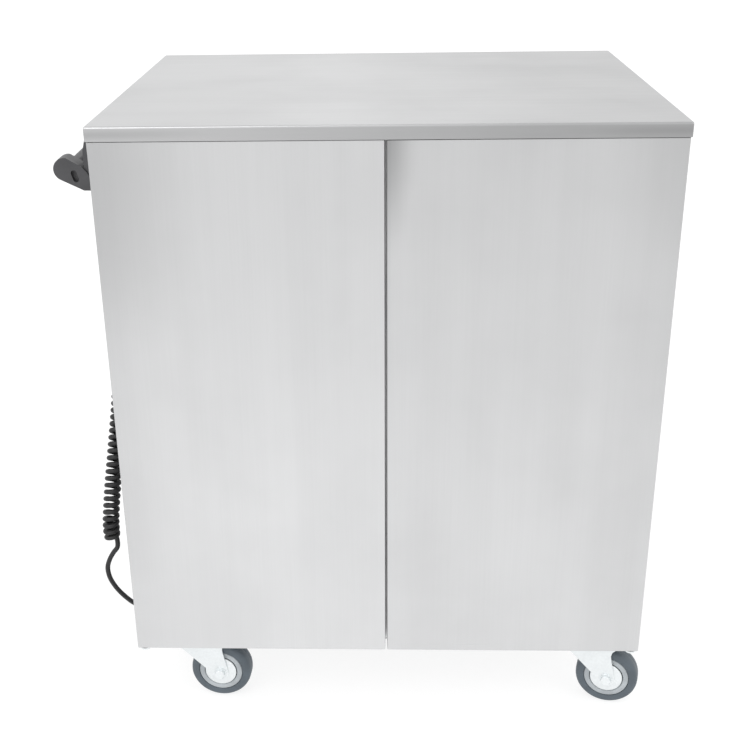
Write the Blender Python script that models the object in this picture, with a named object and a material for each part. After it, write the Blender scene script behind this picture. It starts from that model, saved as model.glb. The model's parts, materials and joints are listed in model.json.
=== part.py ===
"""Insulated food carrier: a two-door heated cabinet on swivel casters, with a push bar and a curly lead.

Units are metres and +Z is up. The doors face -Y, and the push bar, the controls and the mains lead are
on the -X side. The origin is on the floor, below the middle of the carrier's box without its mains lead.
"""
import math

import bmesh
import bpy
from mathutils import Matrix, Vector

# ---------------------------------------------------------------- driving dimensions
CLEAR = 0.0003             # gap between pieces that touch

BODY_WIDTH = 0.800
BODY_DEPTH = 0.636         # door face to back panel
BODY_HEIGHT = 0.8205       # underside of the doors to underside of the worktop
TOP_THICK = 0.020
TOP_OVERHANG = 0.002
TOP_SHEET = 0.0015
TOP_BEND = 0.0025
SHEET = 0.001              # casing, liners and door skins
BASE_SHEET = 0.0025
BASE_SETBACK = 0.006       # base pan's front edge, behind the door face
BASE_FLANGE = 0.022
FLANGE = 0.018             # returns of the side panels

DOOR_THICK = 0.030
DOOR_GAP = 0.003           # between the two doors
DOOR_TOP_GAP = 0.0005
DOOR_BOTTOM_GAP = 0.001
SEAL_GAP = 0.004           # doors to the front frame
SEAL_WIDTH = 0.012
SEAL_MARGIN = 0.004        # seal's inner edge to the opening
GRIP_WIDTH = 0.100         # finger recess in each door's bottom edge
GRIP_DEPTH = 0.016
GRIP_HEIGHT = 0.018
GRIP_FROM_EDGE = 0.030
GRIP_SETBACK = 0.008       # recess's front wall, behind the door face
GRIP_NOTCH_MARGIN = 0.030  # base pan's notch past the two recesses

SIDE_WALL = 0.040          # casing face to chamber
TOP_WALL = 0.045
BACK_WALL = 0.045
FLOOR_WALL = 0.050
MULLION = 0.042            # between the two chambers
LINER_BEND = 0.009
HEATER_SPACE = 0.020       # chamber floor to the insulation under it
PAD_INSET = 0.060          # raised top of the insulation, back from the casing's edges

HEATER_INSET_X = 0.0495    # heating plate's edges from the chamber's sides
HEATER_INSET_Y = 0.078     # and from its front and back
HEATER_THICK = 0.005
TERMINAL_SIZE = (0.040, 0.035, 0.010)
TERMINAL_SETBACK = 0.015   # from the heating plate's rear edge

PIVOT_INSET = 0.010        # hinge axis to the door's outer edge
PIVOT_BACK = 0.018         # hinge axis to the door's rear face
PIN_RADIUS = 0.004
PIN_PLAY = 0.0005
PIN_REACH = 0.016          # pin inside the door
PIN_SPARE = 0.002          # bore past the pin's end
PIN_HEAD = (0.008, 0.003)  # radius and thickness
HINGE_PLATE_WIDTH = 0.020
HINGE_PLATE_THICK = 0.003

RACK_PITCH = 0.110
RACK_FIRST = 0.060         # lowest runner above the chamber floor
RUNNER_LEG = 0.012
RUNNER_SHEET = 0.0015
RUNNER_INSET = 0.028       # runner's ends from the chamber's front and back
POST_WIDTH = 0.020
POST_THICK = 0.0025
POST_BELOW = 0.020         # post past the lowest runner
POST_ABOVE = 0.012         # and past the highest
POST_SETBACK = 0.070       # post's middle from the runner's end

WHEEL_RADIUS = 0.050
WHEEL_WIDTH = 0.032
RIM_RADIUS = 0.036
RIM_LIP = 0.0085
WEB_HALF = 0.006
TREAD_ROUND = 0.006
HUB_RADIUS = 0.011
HUB_WIDTH = 0.034
AXLE_RADIUS = 0.005
CASTER_TRAIL = 0.0458
CASTER_INSET_X = 0.080     # swivel axis from the body's side
CASTER_INSET_Y = 0.0592    # swivel axis from the body's front and back
CASTER_PLATE = (0.105, 0.085, 0.003)
FORK_SHEET = 0.0025
FORK_INNER = 0.036         # between the fork's legs
FORK_OVER_WHEEL = 0.012
FORK_FOOT = 0.014          # radius of the leg's end round the axle
CROWN_BEHIND = 0.032       # crown's rear edge, behind the swivel axis
CROWN_AHEAD = 0.011        # crown's front edge, past the axle
RACE_RADIUS = 0.028
RACE_HEIGHT = 0.0042       # crown to bolt plate
BOLT_HEAD = (0.0075, 0.006)
PARKED_ANGLE = {"front_left": -4.0, "front_right": -15.0, "rear_left": -6.0, "rear_right": 6.0}

HANDLE_FRONT = 0.048       # bracket's front face, behind the door face
HANDLE_WIDTH = 0.027       # bracket, along the bar
LOBE_REACH = 0.0455        # middle of the bracket's round end, from the body's side
LOBE_DROP = 0.050          # the same point, below the worktop's underside
LOBE_RISE = 0.0012         # round end's middle above the rest of the bracket
LOBE_WALL = 0.0063         # bracket's round end past the bar's radius
BAR_REACH = 0.0417
BAR_DROP = 0.0522
BAR_RADIUS = 0.010
BAR_WALL = 0.0015
SOCKET_DEPTH = 0.015

BRAKE_PIN_X = 0.030        # brake pedal's pin from the swivel axis
BRAKE_PIN_DROP = 0.006     # and below the crown
PEDAL_LENGTH = 0.0675
PEDAL_HALF = 0.014
PEDAL_PIN_RADIUS = 0.0025
PEDAL_BARREL = 0.0050

CONTROL_Y = 0.040          # middle of the control housing
CONTROL_DROP = 0.175       # and its height, below the worktop's underside
CONTROL_SIZE = (0.034, 0.150, 0.090)
KNOB_RADIUS = 0.019
KNOB_DEPTH = 0.018
SPINDLE_RADIUS = 0.003
KNOB_OFFSET_Y = -0.035
SWITCH_OFFSET_Y = 0.040
SWITCH_HALF = 0.0095
SWITCH_WIDTH = 0.013
SWITCH_TILT = 8.0
LAMP_RADIUS = 0.005
LAMP_OFFSET_Y = 0.010

CORD_RADIUS = 0.0039
COIL_RADIUS = 0.0135
COIL_RISE = 0.1725         # lower end of the coil above the body's underside
PLUG_REACH = 0.0215        # plug's axis from the body's side
PLUG_SETBACK = 0.190       # and from the door face
PLUG_DROP = 0.1753         # plug's face below the worktop's underside
PLUG_NECK = 0.070          # plug's length below its face
PLUG_RADIUS = 0.018
LEAD_LENGTH = 0.0217       # straight cord between the coil and the plug
PLUG_PIN_RADIUS = 0.0024
PLUG_PIN_SPACING = 0.019
PLUG_PIN_LENGTH = 0.019
HOLDER_SIZE = (0.0425, 0.044, 0.026)

# ---------------------------------------------------------------- places that follow from them
PEDAL_TURN = math.radians(PARKED_ANGLE["rear_right"])
PEDAL_REACH = (BRAKE_PIN_X + PEDAL_LENGTH) * math.cos(PEDAL_TURN) + PEDAL_HALF * math.sin(PEDAL_TURN)
LOBE_RADIUS = BAR_RADIUS + LOBE_WALL
LEFT_REACH = LOBE_REACH + LOBE_RADIUS           # push bar's bracket past the body's left side
RIGHT_REACH = PEDAL_REACH - CASTER_INSET_X      # parked brake pedal past its right side
BODY_X = (LEFT_REACH - RIGHT_REACH) / 2         # centres the whole carrier on the origin
CROWN_TOP = 2 * WHEEL_RADIUS + FORK_OVER_WHEEL + FORK_SHEET
BODY_BOTTOM = CROWN_TOP + RACE_HEIGHT + CASTER_PLATE[2] + CLEAR + BASE_SHEET
LEFT = BODY_X - BODY_WIDTH / 2
RIGHT = BODY_X + BODY_WIDTH / 2
FRONT = -BODY_DEPTH / 2
BACK = BODY_DEPTH / 2
TOP = BODY_BOTTOM + BODY_HEIGHT
WORKTOP = TOP + TOP_THICK
BASE_UNDER = BODY_BOTTOM - BASE_SHEET
DOOR_BACK = FRONT + DOOR_THICK
FRAME_FRONT = DOOR_BACK + SEAL_GAP
FRAME_BACK = FRAME_FRONT + SHEET
CHAMBER_WIDTH = (BODY_WIDTH - 2 * SIDE_WALL - MULLION) / 2
CHAMBER_BOTTOM = BODY_BOTTOM + FLOOR_WALL
CHAMBER_TOP = TOP - TOP_WALL
CHAMBER_BACK = BACK - BACK_WALL
FLOOR_BOARD = FLOOR_WALL - HEATER_SPACE         # insulation below the heaters
RACK_HEIGHT = CHAMBER_TOP - CHAMBER_BOTTOM - RACK_FIRST - RUNNER_LEG - POST_ABOVE
RACK_LEVELS = int(RACK_HEIGHT / RACK_PITCH) + 1
CHAMBERS = {
    "left": (LEFT + SIDE_WALL, LEFT + SIDE_WALL + CHAMBER_WIDTH),
    "right": (RIGHT - SIDE_WALL - CHAMBER_WIDTH, RIGHT - SIDE_WALL),
}
DOOR_BOTTOM = BODY_BOTTOM + DOOR_BOTTOM_GAP
DOOR_TOP = TOP - DOOR_TOP_GAP
DOORS = {"left": (LEFT, BODY_X - DOOR_GAP / 2), "right": (BODY_X + DOOR_GAP / 2, RIGHT)}
PIVOT_Y = DOOR_BACK - PIVOT_BACK
PIVOT_X = {"left": LEFT + PIVOT_INSET, "right": RIGHT - PIVOT_INSET}
OUTWARD = {"left": -1, "right": 1}
LOBE_HEIGHT = TOP - LOBE_DROP
BAR_HEIGHT = TOP - BAR_DROP
CONTROL_Z = TOP - CONTROL_DROP
CONTROL_FACE = LEFT - CLEAR - CONTROL_SIZE[0]
PLUG_X = LEFT - PLUG_REACH
PLUG_Y = FRONT + PLUG_SETBACK
PLUG_TOP = TOP - PLUG_DROP
PLUG_BOTTOM = PLUG_TOP - PLUG_NECK
COIL_BOTTOM = BODY_BOTTOM + COIL_RISE
COIL_TOP = PLUG_BOTTOM - LEAD_LENGTH

# the mains lead's points, from the body's left side, its door face and its underside
TAIL_ROUTE = [
    (-0.0135, 0.1247, 0.0185), (-0.0136, 0.1100, 0.0193), (-0.0145, 0.0935, 0.0235),
    (-0.0185, 0.0775, 0.0345), (-0.0255, 0.0675, 0.0495), (-0.0345, 0.0615, 0.0655),
    (-0.0425, 0.0580, 0.0815), (-0.0485, 0.0555, 0.0995), (-0.0500, 0.0550, 0.1175),
    (-0.0452, 0.0540, 0.1335), (-0.0375, 0.0530, 0.1475), (-0.0295, 0.0522, 0.1595),
]
COIL_ROUTE = [
    (-0.0365, 0.0520, 0.1835), (-0.0350, 0.0530, 0.2135), (-0.0305, 0.0680, 0.2645),
    (-0.0245, 0.0930, 0.3255), (-0.0200, 0.1250, 0.3885), (-0.0182, 0.1550, 0.4535),
    (-0.0193, 0.1750, 0.5035), (-0.0215, 0.1900, 0.5415),
]


# ---------------------------------------------------------------- making and joining meshes
def clear_scene():
    """Remove the objects that a new file starts with."""
    for item in list(bpy.data.objects):
        bpy.data.objects.remove(item, do_unlink=True)


def material(name, colour, roughness, metallic=0.0):
    """A Principled material of one colour, made once."""
    found = bpy.data.materials.get(name)
    if found:
        return found
    made = bpy.data.materials.new(name)
    made.use_nodes = True
    shader = made.node_tree.nodes["Principled BSDF"]
    shader.inputs["Base Color"].default_value = (*colour, 1.0)
    shader.inputs["Roughness"].default_value = roughness
    shader.inputs["Metallic"].default_value = metallic
    return made


def steel():
    return material("stainless_steel", (0.62, 0.63, 0.64), 0.30, 1.0)


def zinc():
    return material("zinc_plated_steel", (0.72, 0.74, 0.76), 0.35, 1.0)


def black_plastic():
    return material("black_plastic", (0.045, 0.045, 0.050), 0.45)


def cord_rubber():
    return material("cord_rubber", (0.020, 0.020, 0.022), 0.55)


def place(name, mesh, finish, origin=(0, 0, 0), smooth=False):
    """Put a world-space mesh into the scene as one named object whose origin is at origin."""
    mesh.name = name
    mesh.transform(Matrix.Translation(-Vector(origin)))
    if smooth:
        mesh.shade_smooth()
        mesh.set_sharp_from_angle(angle=math.radians(40))
    mesh.materials.clear()
    mesh.materials.append(finish)
    item = bpy.data.objects.new(name, mesh)
    item.location = origin
    bpy.context.scene.collection.objects.link(item)
    return item


def mesh_from(bm):
    """Turn a bmesh into a mesh with its faces pointing out."""
    bmesh.ops.recalc_face_normals(bm, faces=bm.faces)
    mesh = bpy.data.meshes.new("shape")
    bm.to_mesh(mesh)
    bm.free()
    return mesh


def block(low, high, bevel=0.0, segments=1):
    """A box between two corners, with its edges rounded by bevel."""
    bm = bmesh.new()
    bmesh.ops.create_cube(bm, size=1.0)
    size = Vector(high) - Vector(low)
    middle = (Vector(high) + Vector(low)) / 2
    bmesh.ops.scale(bm, vec=size, verts=bm.verts)
    bmesh.ops.translate(bm, vec=middle, verts=bm.verts)
    if bevel:
        bmesh.ops.bevel(bm, geom=bm.edges[:], offset=bevel, segments=segments, profile=0.5, affect="EDGES")
    return mesh_from(bm)


def prism(outline, low, high, axis="y"):
    """An outline of 2D points carried along one axis; the points are (x, z), (x, y) or (y, z)."""
    spots = {
        "y": lambda a, b, along: (a, along, b),
        "z": lambda a, b, along: (a, b, along),
        "x": lambda a, b, along: (along, a, b),
    }[axis]
    bm = bmesh.new()
    start = [bm.verts.new(spots(a, b, low)) for a, b in outline]
    end = [bm.verts.new(spots(a, b, high)) for a, b in outline]
    bm.faces.new(start)
    bm.faces.new(end[::-1])
    count = len(outline)
    for i in range(count):
        bm.faces.new((start[i], start[(i + 1) % count], end[(i + 1) % count], end[i]))
    return mesh_from(bm)


def turned(profile, middle, axis="z", steps=24):
    """A closed profile of (radius, distance along the axis) turned round the axis through middle."""
    bm = bmesh.new()
    rings = []
    for radius, along in profile:
        if radius == 0:
            rings.append([bm.verts.new((0, 0, along))])
            continue
        turns = [2 * math.pi * i / steps for i in range(steps)]
        rings.append([bm.verts.new((radius * math.cos(t), radius * math.sin(t), along)) for t in turns])
    count = len(rings)
    for i in range(count):
        first, second = rings[i], rings[(i + 1) % count]
        if len(first) == 1 and len(second) == 1:
            continue
        for j in range(steps):
            k = (j + 1) % steps
            corners = [first[j % len(first)], first[k % len(first)],
                       second[k % len(second)], second[j % len(second)]]
            bm.faces.new(list(dict.fromkeys(corners)))
    turn = {
        "z": Matrix.Identity(4),
        "x": Matrix.Rotation(math.pi / 2, 4, "Y"),
        "y": Matrix.Rotation(-math.pi / 2, 4, "X"),
    }[axis]
    bmesh.ops.transform(bm, matrix=Matrix.Translation(middle) @ turn, verts=bm.verts)
    return mesh_from(bm)


def rod(radius, low, high, middle, axis="z", steps=16):
    """A cylinder along an axis, from low to high as distances from middle."""
    return turned([(0, low), (radius, low), (radius, high), (0, high)], middle, axis, steps)


def combined(base, others, operation):
    """Join meshes to a base mesh, or cut them from it, and return the result as a mesh."""
    scene = bpy.context.scene.collection.objects
    body = bpy.data.objects.new("work", base)
    scene.link(body)
    tools = []
    for mesh in others:
        tool = bpy.data.objects.new("tool", mesh)
        scene.link(tool)
        tools.append(tool)
        step = body.modifiers.new("step", "BOOLEAN")
        step.operation = operation
        step.solver = "EXACT"
        step.object = tool
    graph = bpy.context.evaluated_depsgraph_get()
    result = bpy.data.meshes.new_from_object(body.evaluated_get(graph))
    for item in [body, *tools]:
        bpy.data.objects.remove(item, do_unlink=True)
    return result


def joined(*meshes):
    return combined(meshes[0], meshes[1:], "UNION")


def cut(mesh, *cutters):
    return combined(mesh, cutters, "DIFFERENCE")


def pan(low, high, thick, open_side, bevel=0.0, segments=2):
    """A box of sheet with one side open, thick inwards from its outer faces."""
    bm = bmesh.new()
    bmesh.ops.create_cube(bm, size=1.0)
    bmesh.ops.scale(bm, vec=Vector(high) - Vector(low), verts=bm.verts)
    bmesh.ops.translate(bm, vec=(Vector(high) + Vector(low)) / 2, verts=bm.verts)
    bmesh.ops.recalc_face_normals(bm, faces=bm.faces)
    away = Vector(open_side)
    opened = [face for face in bm.faces if face.normal.dot(away) > 0.9]
    bmesh.ops.delete(bm, geom=opened, context="FACES_ONLY")
    if bevel:
        bends = [edge for edge in bm.edges if not edge.is_boundary]
        bmesh.ops.bevel(bm, geom=bends, offset=bevel, segments=segments, profile=0.5, affect="EDGES")
    mesh = bpy.data.meshes.new("pan")
    bm.to_mesh(mesh)
    bm.free()
    shell = bpy.data.objects.new("shell", mesh)
    bpy.context.scene.collection.objects.link(shell)
    wall = shell.modifiers.new("wall", "SOLIDIFY")
    wall.thickness = thick
    wall.offset = -1.0
    wall.use_even_offset = True
    graph = bpy.context.evaluated_depsgraph_get()
    result = bpy.data.meshes.new_from_object(shell.evaluated_get(graph))
    bpy.data.objects.remove(shell, do_unlink=True)
    return result


def arc(middle, radius, start, end, steps):
    """Points on an arc in a plane, with its angles in degrees."""
    angles = [math.radians(start + (end - start) * i / steps) for i in range(steps + 1)]
    return [(middle[0] + radius * math.cos(a), middle[1] + radius * math.sin(a)) for a in angles]


def smooth_route(points, spacing):
    """Points at even spacing along a smooth curve through the given points."""
    spots = [Vector(p) for p in points]
    spots = [2 * spots[0] - spots[1], *spots, 2 * spots[-1] - spots[-2]]
    fine = []
    for i in range(1, len(spots) - 2):
        a, b, c, d = spots[i - 1:i + 3]
        for j in range(20):
            t = j / 20
            fine.append(0.5 * ((2 * b) + (c - a) * t + (2 * a - 5 * b + 4 * c - d) * t**2
                               + (3 * b - a - 3 * c + d) * t**3))
    fine.append(spots[-2])
    total = sum((q - p).length for p, q in zip(fine, fine[1:]))
    count = max(2, round(total / spacing))
    step, travelled, result = total / count, 0.0, [fine[0]]
    for p, q in zip(fine, fine[1:]):
        length = (q - p).length
        while travelled + length >= step * len(result) and len(result) < count:
            result.append(p.lerp(q, (step * len(result) - travelled) / length))
        travelled += length
    return [*result, fine[-1]]


def tube(name, points, radius, finish, resolution=2):
    """A round cord or coil through the points, with its ends filled."""
    curve = bpy.data.curves.new(name, "CURVE")
    curve.dimensions = "3D"
    curve.bevel_depth = radius
    curve.bevel_resolution = resolution
    curve.use_fill_caps = True
    line = curve.splines.new("POLY")
    line.points.add(len(points) - 1)
    for spot, point in zip(line.points, points):
        spot.co = (*point, 1.0)
    curve.materials.append(finish)
    item = bpy.data.objects.new(name, curve)
    bpy.context.scene.collection.objects.link(item)
    return item


def on_body(point):
    """A point of the mains lead's route in the carrier's own frame."""
    return Vector((LEFT + point[0], FRONT + point[1], BODY_BOTTOM + point[2]))


# ---------------------------------------------------------------- casing
def worktop():
    low = (LEFT - TOP_OVERHANG, FRONT - TOP_OVERHANG, TOP)
    high = (RIGHT + TOP_OVERHANG, BACK + TOP_OVERHANG, WORKTOP)
    place("worktop", pan(low, high, TOP_SHEET, (0, 0, -1), bevel=TOP_BEND), steel(), smooth=True)


def side_panels():
    near, far = FRAME_BACK + CLEAR, BACK - SHEET - CLEAR
    for side, face in (("left", LEFT), ("right", RIGHT)):
        way = -OUTWARD[side]
        outline = [
            (face, near), (face, far), (face + way * FLANGE, far), (face + way * FLANGE, far - SHEET),
            (face + way * SHEET, far - SHEET), (face + way * SHEET, near + SHEET),
            (face + way * FLANGE, near + SHEET), (face + way * FLANGE, near),
        ]
        place(f"side_panel_{side}", prism(outline, BODY_BOTTOM, TOP - CLEAR, "z"), steel())


def back_panel():
    place("back_panel", block((LEFT, BACK - SHEET, BODY_BOTTOM), (RIGHT, BACK, TOP - CLEAR)), steel())


def front_frame():
    openings = [
        block((low, FRAME_FRONT - 0.01, CHAMBER_BOTTOM), (high, FRAME_BACK + 0.01, CHAMBER_TOP))
        for low, high in CHAMBERS.values()
    ]
    plate = block((LEFT, FRAME_FRONT, BODY_BOTTOM), (RIGHT, FRAME_BACK, TOP - CLEAR))
    place("front_frame", cut(plate, *openings), steel())


def base_pan():
    """Bottom sheet with two side flanges; its front has a wide notch that leaves the door grips free."""
    edge_front = FRONT + BASE_SETBACK
    inner_left, inner_right = LEFT + SHEET + CLEAR, RIGHT - SHEET - CLEAR
    far = BACK - 2 * (SHEET + CLEAR) - CLEAR
    notch = GRIP_WIDTH + GRIP_FROM_EDGE + GRIP_NOTCH_MARGIN
    outline = [
        (inner_left, edge_front), (BODY_X - notch, edge_front), (BODY_X - notch, FRAME_FRONT),
        (BODY_X + notch, FRAME_FRONT), (BODY_X + notch, edge_front), (inner_right, edge_front),
        (inner_right, far), (inner_left, far),
    ]
    sheet = prism(outline, BASE_UNDER, BODY_BOTTOM - CLEAR, "z")
    near = FRAME_BACK + SHEET + 2 * CLEAR
    flange_top = BODY_BOTTOM + BASE_FLANGE
    flanges = [
        block((inner_left, near, BASE_UNDER), (inner_left + SHEET, far, flange_top)),
        block((inner_right - SHEET, near, BASE_UNDER), (inner_right, far, flange_top)),
    ]
    holes = [
        rod(PIN_RADIUS + PIN_PLAY, BASE_UNDER - 0.01, BODY_BOTTOM + 0.01, (PIVOT_X[side], PIVOT_Y, 0))
        for side in PIVOT_X
    ]
    place("base_pan", cut(joined(sheet, *flanges), *holes), steel())


# ---------------------------------------------------------------- insulation, chambers and what they hold
def insulation():
    finish = material("insulation_foam", (0.78, 0.70, 0.48), 0.9)
    left = LEFT + 2 * SHEET + 2 * CLEAR
    right = RIGHT - 2 * SHEET - 2 * CLEAR
    near = FRAME_BACK + SHEET + 2 * CLEAR
    hollow_back = CHAMBER_BACK + SHEET + CLEAR
    far = BACK - 2 * (SHEET + CLEAR) - CLEAR
    hollow_bottom = BODY_BOTTOM + CLEAR + FLOOR_BOARD
    hollow_top = CHAMBER_TOP + SHEET + CLEAR
    hollow_left = CHAMBERS["left"][0] - SHEET - CLEAR
    hollow_right = CHAMBERS["right"][1] + SHEET + CLEAR
    jacket = block((left, near, BODY_BOTTOM), (right, hollow_back, TOP - CLEAR))
    pad = block((left + PAD_INSET, near + PAD_INSET, TOP - 0.01),
                (right - PAD_INSET, hollow_back - CLEAR, WORKTOP - TOP_SHEET - CLEAR))
    tunnel = block((hollow_left, near - 0.01, hollow_bottom), (hollow_right, hollow_back + 0.01, hollow_top))
    place("insulation_jacket", cut(joined(jacket, pad), tunnel), finish)
    back = block((left, hollow_back + CLEAR, BODY_BOTTOM), (right, far, TOP - CLEAR))
    place("insulation_back", back, finish)
    divider_left = CHAMBERS["left"][1] + SHEET + CLEAR
    divider_right = CHAMBERS["right"][0] - SHEET - CLEAR
    divider = block((divider_left, near, hollow_bottom + CLEAR),
                    (divider_right, hollow_back, hollow_top - CLEAR))
    place("insulation_divider", divider, finish)


def chambers():
    for side, (low, high) in CHAMBERS.items():
        liner = pan((low - SHEET, FRAME_BACK + CLEAR, CHAMBER_BOTTOM - SHEET),
                    (high + SHEET, CHAMBER_BACK + SHEET, CHAMBER_TOP + SHEET),
                    SHEET, (0, -1, 0), bevel=LINER_BEND)
        place(f"chamber_liner_{side}", liner, steel(), smooth=True)
        heater(side, low, high)
        tray_rack(f"tray_rack_{side}_a", low + CLEAR, 1)
        tray_rack(f"tray_rack_{side}_b", high - CLEAR, -1)


def heater(side, low, high):
    """A flat heating plate under the chamber's floor, with its terminal block below it."""
    under_floor = CHAMBER_BOTTOM - SHEET - CLEAR
    middle_x = (low + high) / 2
    rear = CHAMBER_BACK - HEATER_INSET_Y
    plate = block((low + HEATER_INSET_X, FRAME_BACK + HEATER_INSET_Y, under_floor - HEATER_THICK),
                  (high - HEATER_INSET_X, rear, under_floor))
    width, length, height = TERMINAL_SIZE
    terminal_top = under_floor - HEATER_THICK + SHEET
    terminal = block((middle_x - width / 2, rear - TERMINAL_SETBACK - length, terminal_top - height),
                     (middle_x + width / 2, rear - TERMINAL_SETBACK, terminal_top))
    place(f"heater_{side}", joined(plate, terminal), material("heater_mica", (0.30, 0.24, 0.18), 0.6))


def tray_rack(name, wall, way):
    """Two posts against a chamber wall with L-shaped runners; way points into the chamber."""
    runner_front = FRAME_BACK + RUNNER_INSET
    runner_back = CHAMBER_BACK - RUNNER_INSET
    lowest = CHAMBER_BOTTOM + RACK_FIRST
    highest = lowest + (RACK_LEVELS - 1) * RACK_PITCH
    face = wall + way * POST_THICK
    pieces = []
    for y in (runner_front + POST_SETBACK, runner_back - POST_SETBACK):
        corner = (wall, y - POST_WIDTH / 2, lowest - POST_BELOW)
        opposite = (face, y + POST_WIDTH / 2, highest + RUNNER_LEG + POST_ABOVE)
        pieces.append(block([min(a, b) for a, b in zip(corner, opposite)],
                            [max(a, b) for a, b in zip(corner, opposite)]))
    inner = face - way * RUNNER_SHEET / 2
    for level in range(RACK_LEVELS):
        z = lowest + level * RACK_PITCH
        outline = [
            (inner, z), (inner + way * RUNNER_LEG, z), (inner + way * RUNNER_LEG, z + RUNNER_SHEET),
            (inner + way * RUNNER_SHEET, z + RUNNER_SHEET), (inner + way * RUNNER_SHEET, z + RUNNER_LEG),
            (inner, z + RUNNER_LEG),
        ]
        pieces.append(prism(outline, runner_front, runner_back, "y"))
    place(name, joined(*pieces), steel())


# ---------------------------------------------------------------- doors
def doors():
    for side, (low, high) in DOORS.items():
        door(side, low, high)
        hinge_pivots(side)


def door(side, low, high):
    """Skin with a finger recess, insulation, inner panel and seal, all turning on one vertical axis."""
    origin = (PIVOT_X[side], PIVOT_Y, DOOR_BOTTOM)
    pin_x = PIVOT_X[side]
    free_edge = high if side == "left" else low
    way = OUTWARD[side]
    grip = sorted((free_edge + way * GRIP_FROM_EDGE, free_edge + way * (GRIP_FROM_EDGE + GRIP_WIDTH)))
    grip_front = FRONT + GRIP_SETBACK
    hollow = ((grip[0], grip_front, DOOR_BOTTOM - 0.01),
              (grip[1], grip_front + GRIP_DEPTH, DOOR_BOTTOM + GRIP_HEIGHT))

    def grown(by):
        return block([v - by for v in hollow[0]], [v + by for v in hollow[1]])

    skin_back = DOOR_BACK - SHEET - CLEAR
    shell = pan((low, FRONT, DOOR_BOTTOM), (high, skin_back, DOOR_TOP), SHEET, (0, 1, 0), bevel=0.0015)
    cup = block((grip[0] - SHEET, grip_front - SHEET, DOOR_BOTTOM),
                (grip[1] + SHEET, grip_front + GRIP_DEPTH + SHEET, DOOR_BOTTOM + GRIP_HEIGHT + SHEET))
    pin_hole = [
        rod(PIN_RADIUS + PIN_PLAY, z - 0.010, z + 0.010, (pin_x, PIVOT_Y, 0)) for z in (DOOR_BOTTOM, DOOR_TOP)
    ]
    skin = cut(joined(shell, cup), block(*hollow), *pin_hole)
    place(f"door_skin_{side}", skin, steel(), origin)

    inset = SHEET + CLEAR
    core = block((low + inset, FRONT + inset, DOOR_BOTTOM + inset),
                 (high - inset, skin_back, DOOR_TOP - inset))
    reach = PIN_REACH + PIN_SPARE
    bores = [
        rod(PIN_RADIUS + PIN_PLAY, -0.01, reach, (pin_x, PIVOT_Y, DOOR_BOTTOM)),
        rod(PIN_RADIUS + PIN_PLAY, -reach, 0.01, (pin_x, PIVOT_Y, DOOR_TOP)),
    ]
    foam = material("insulation_foam", (0.78, 0.70, 0.48), 0.9)
    place(f"door_insulation_{side}", cut(core, grown(inset), *bores), foam, origin)

    panel = block((low, DOOR_BACK - SHEET, DOOR_BOTTOM), (high, DOOR_BACK, DOOR_TOP))
    place(f"door_inner_panel_{side}", panel, steel(), origin)

    opening = CHAMBERS[side]
    inner = (opening[0] - SEAL_MARGIN, CHAMBER_BOTTOM - SEAL_MARGIN,
             opening[1] + SEAL_MARGIN, CHAMBER_TOP + SEAL_MARGIN)
    near, far = DOOR_BACK + CLEAR, FRAME_FRONT - CLEAR
    outer = block((inner[0] - SEAL_WIDTH, near, inner[1] - SEAL_WIDTH),
                  (inner[2] + SEAL_WIDTH, far, inner[3] + SEAL_WIDTH))
    middle = block((inner[0], near - 0.01, inner[1]), (inner[2], far + 0.01, inner[3]))
    seal = material("seal_rubber", (0.10, 0.10, 0.11), 0.7)
    place(f"door_seal_{side}", cut(outer, middle), seal, origin)


def hinge_pivots(side):
    """A headed pin through the base pan below each door, and a plate with a pin above it."""
    x = PIVOT_X[side]
    head_radius, head_thick = PIN_HEAD
    head_top = BASE_UNDER - CLEAR
    head = rod(head_radius, head_top - head_thick, head_top, (x, PIVOT_Y, 0))
    shank = rod(PIN_RADIUS, head_top - head_thick / 2, DOOR_BOTTOM + PIN_REACH, (x, PIVOT_Y, 0))
    place(f"hinge_pivot_{side}_bottom", joined(head, shank), zinc(), smooth=True)
    outer = x + OUTWARD[side] * head_radius
    across = sorted((outer, outer - OUTWARD[side] * HINGE_PLATE_WIDTH))
    plate = block((across[0], PIVOT_Y - head_radius, TOP),
                  (across[1], FRAME_BACK + PAD_INSET - 0.010, TOP + HINGE_PLATE_THICK))
    pin = rod(PIN_RADIUS, DOOR_TOP - PIN_REACH, TOP + HINGE_PLATE_THICK / 2, (x, PIVOT_Y, 0))
    place(f"hinge_pivot_{side}_top", joined(plate, pin), zinc())


# ---------------------------------------------------------------- push bar
def push_handle():
    socket_front = FRONT + HANDLE_FRONT + HANDLE_WIDTH - SOCKET_DEPTH
    for name, way in (("front", 1), ("rear", -1)):
        handle_bracket(name, way)
    reach = BACK - HANDLE_FRONT - HANDLE_WIDTH + SOCKET_DEPTH - CLEAR
    start = socket_front + CLEAR
    inner = BAR_RADIUS - BAR_WALL
    profile = [(BAR_RADIUS, start), (BAR_RADIUS, reach), (inner, reach), (inner, start)]
    bar = turned(profile, (LEFT - BAR_REACH, 0, BAR_HEIGHT), "y")
    place("push_bar", bar, material("coated_steel", (0.060, 0.060, 0.065), 0.40), smooth=True)


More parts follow.
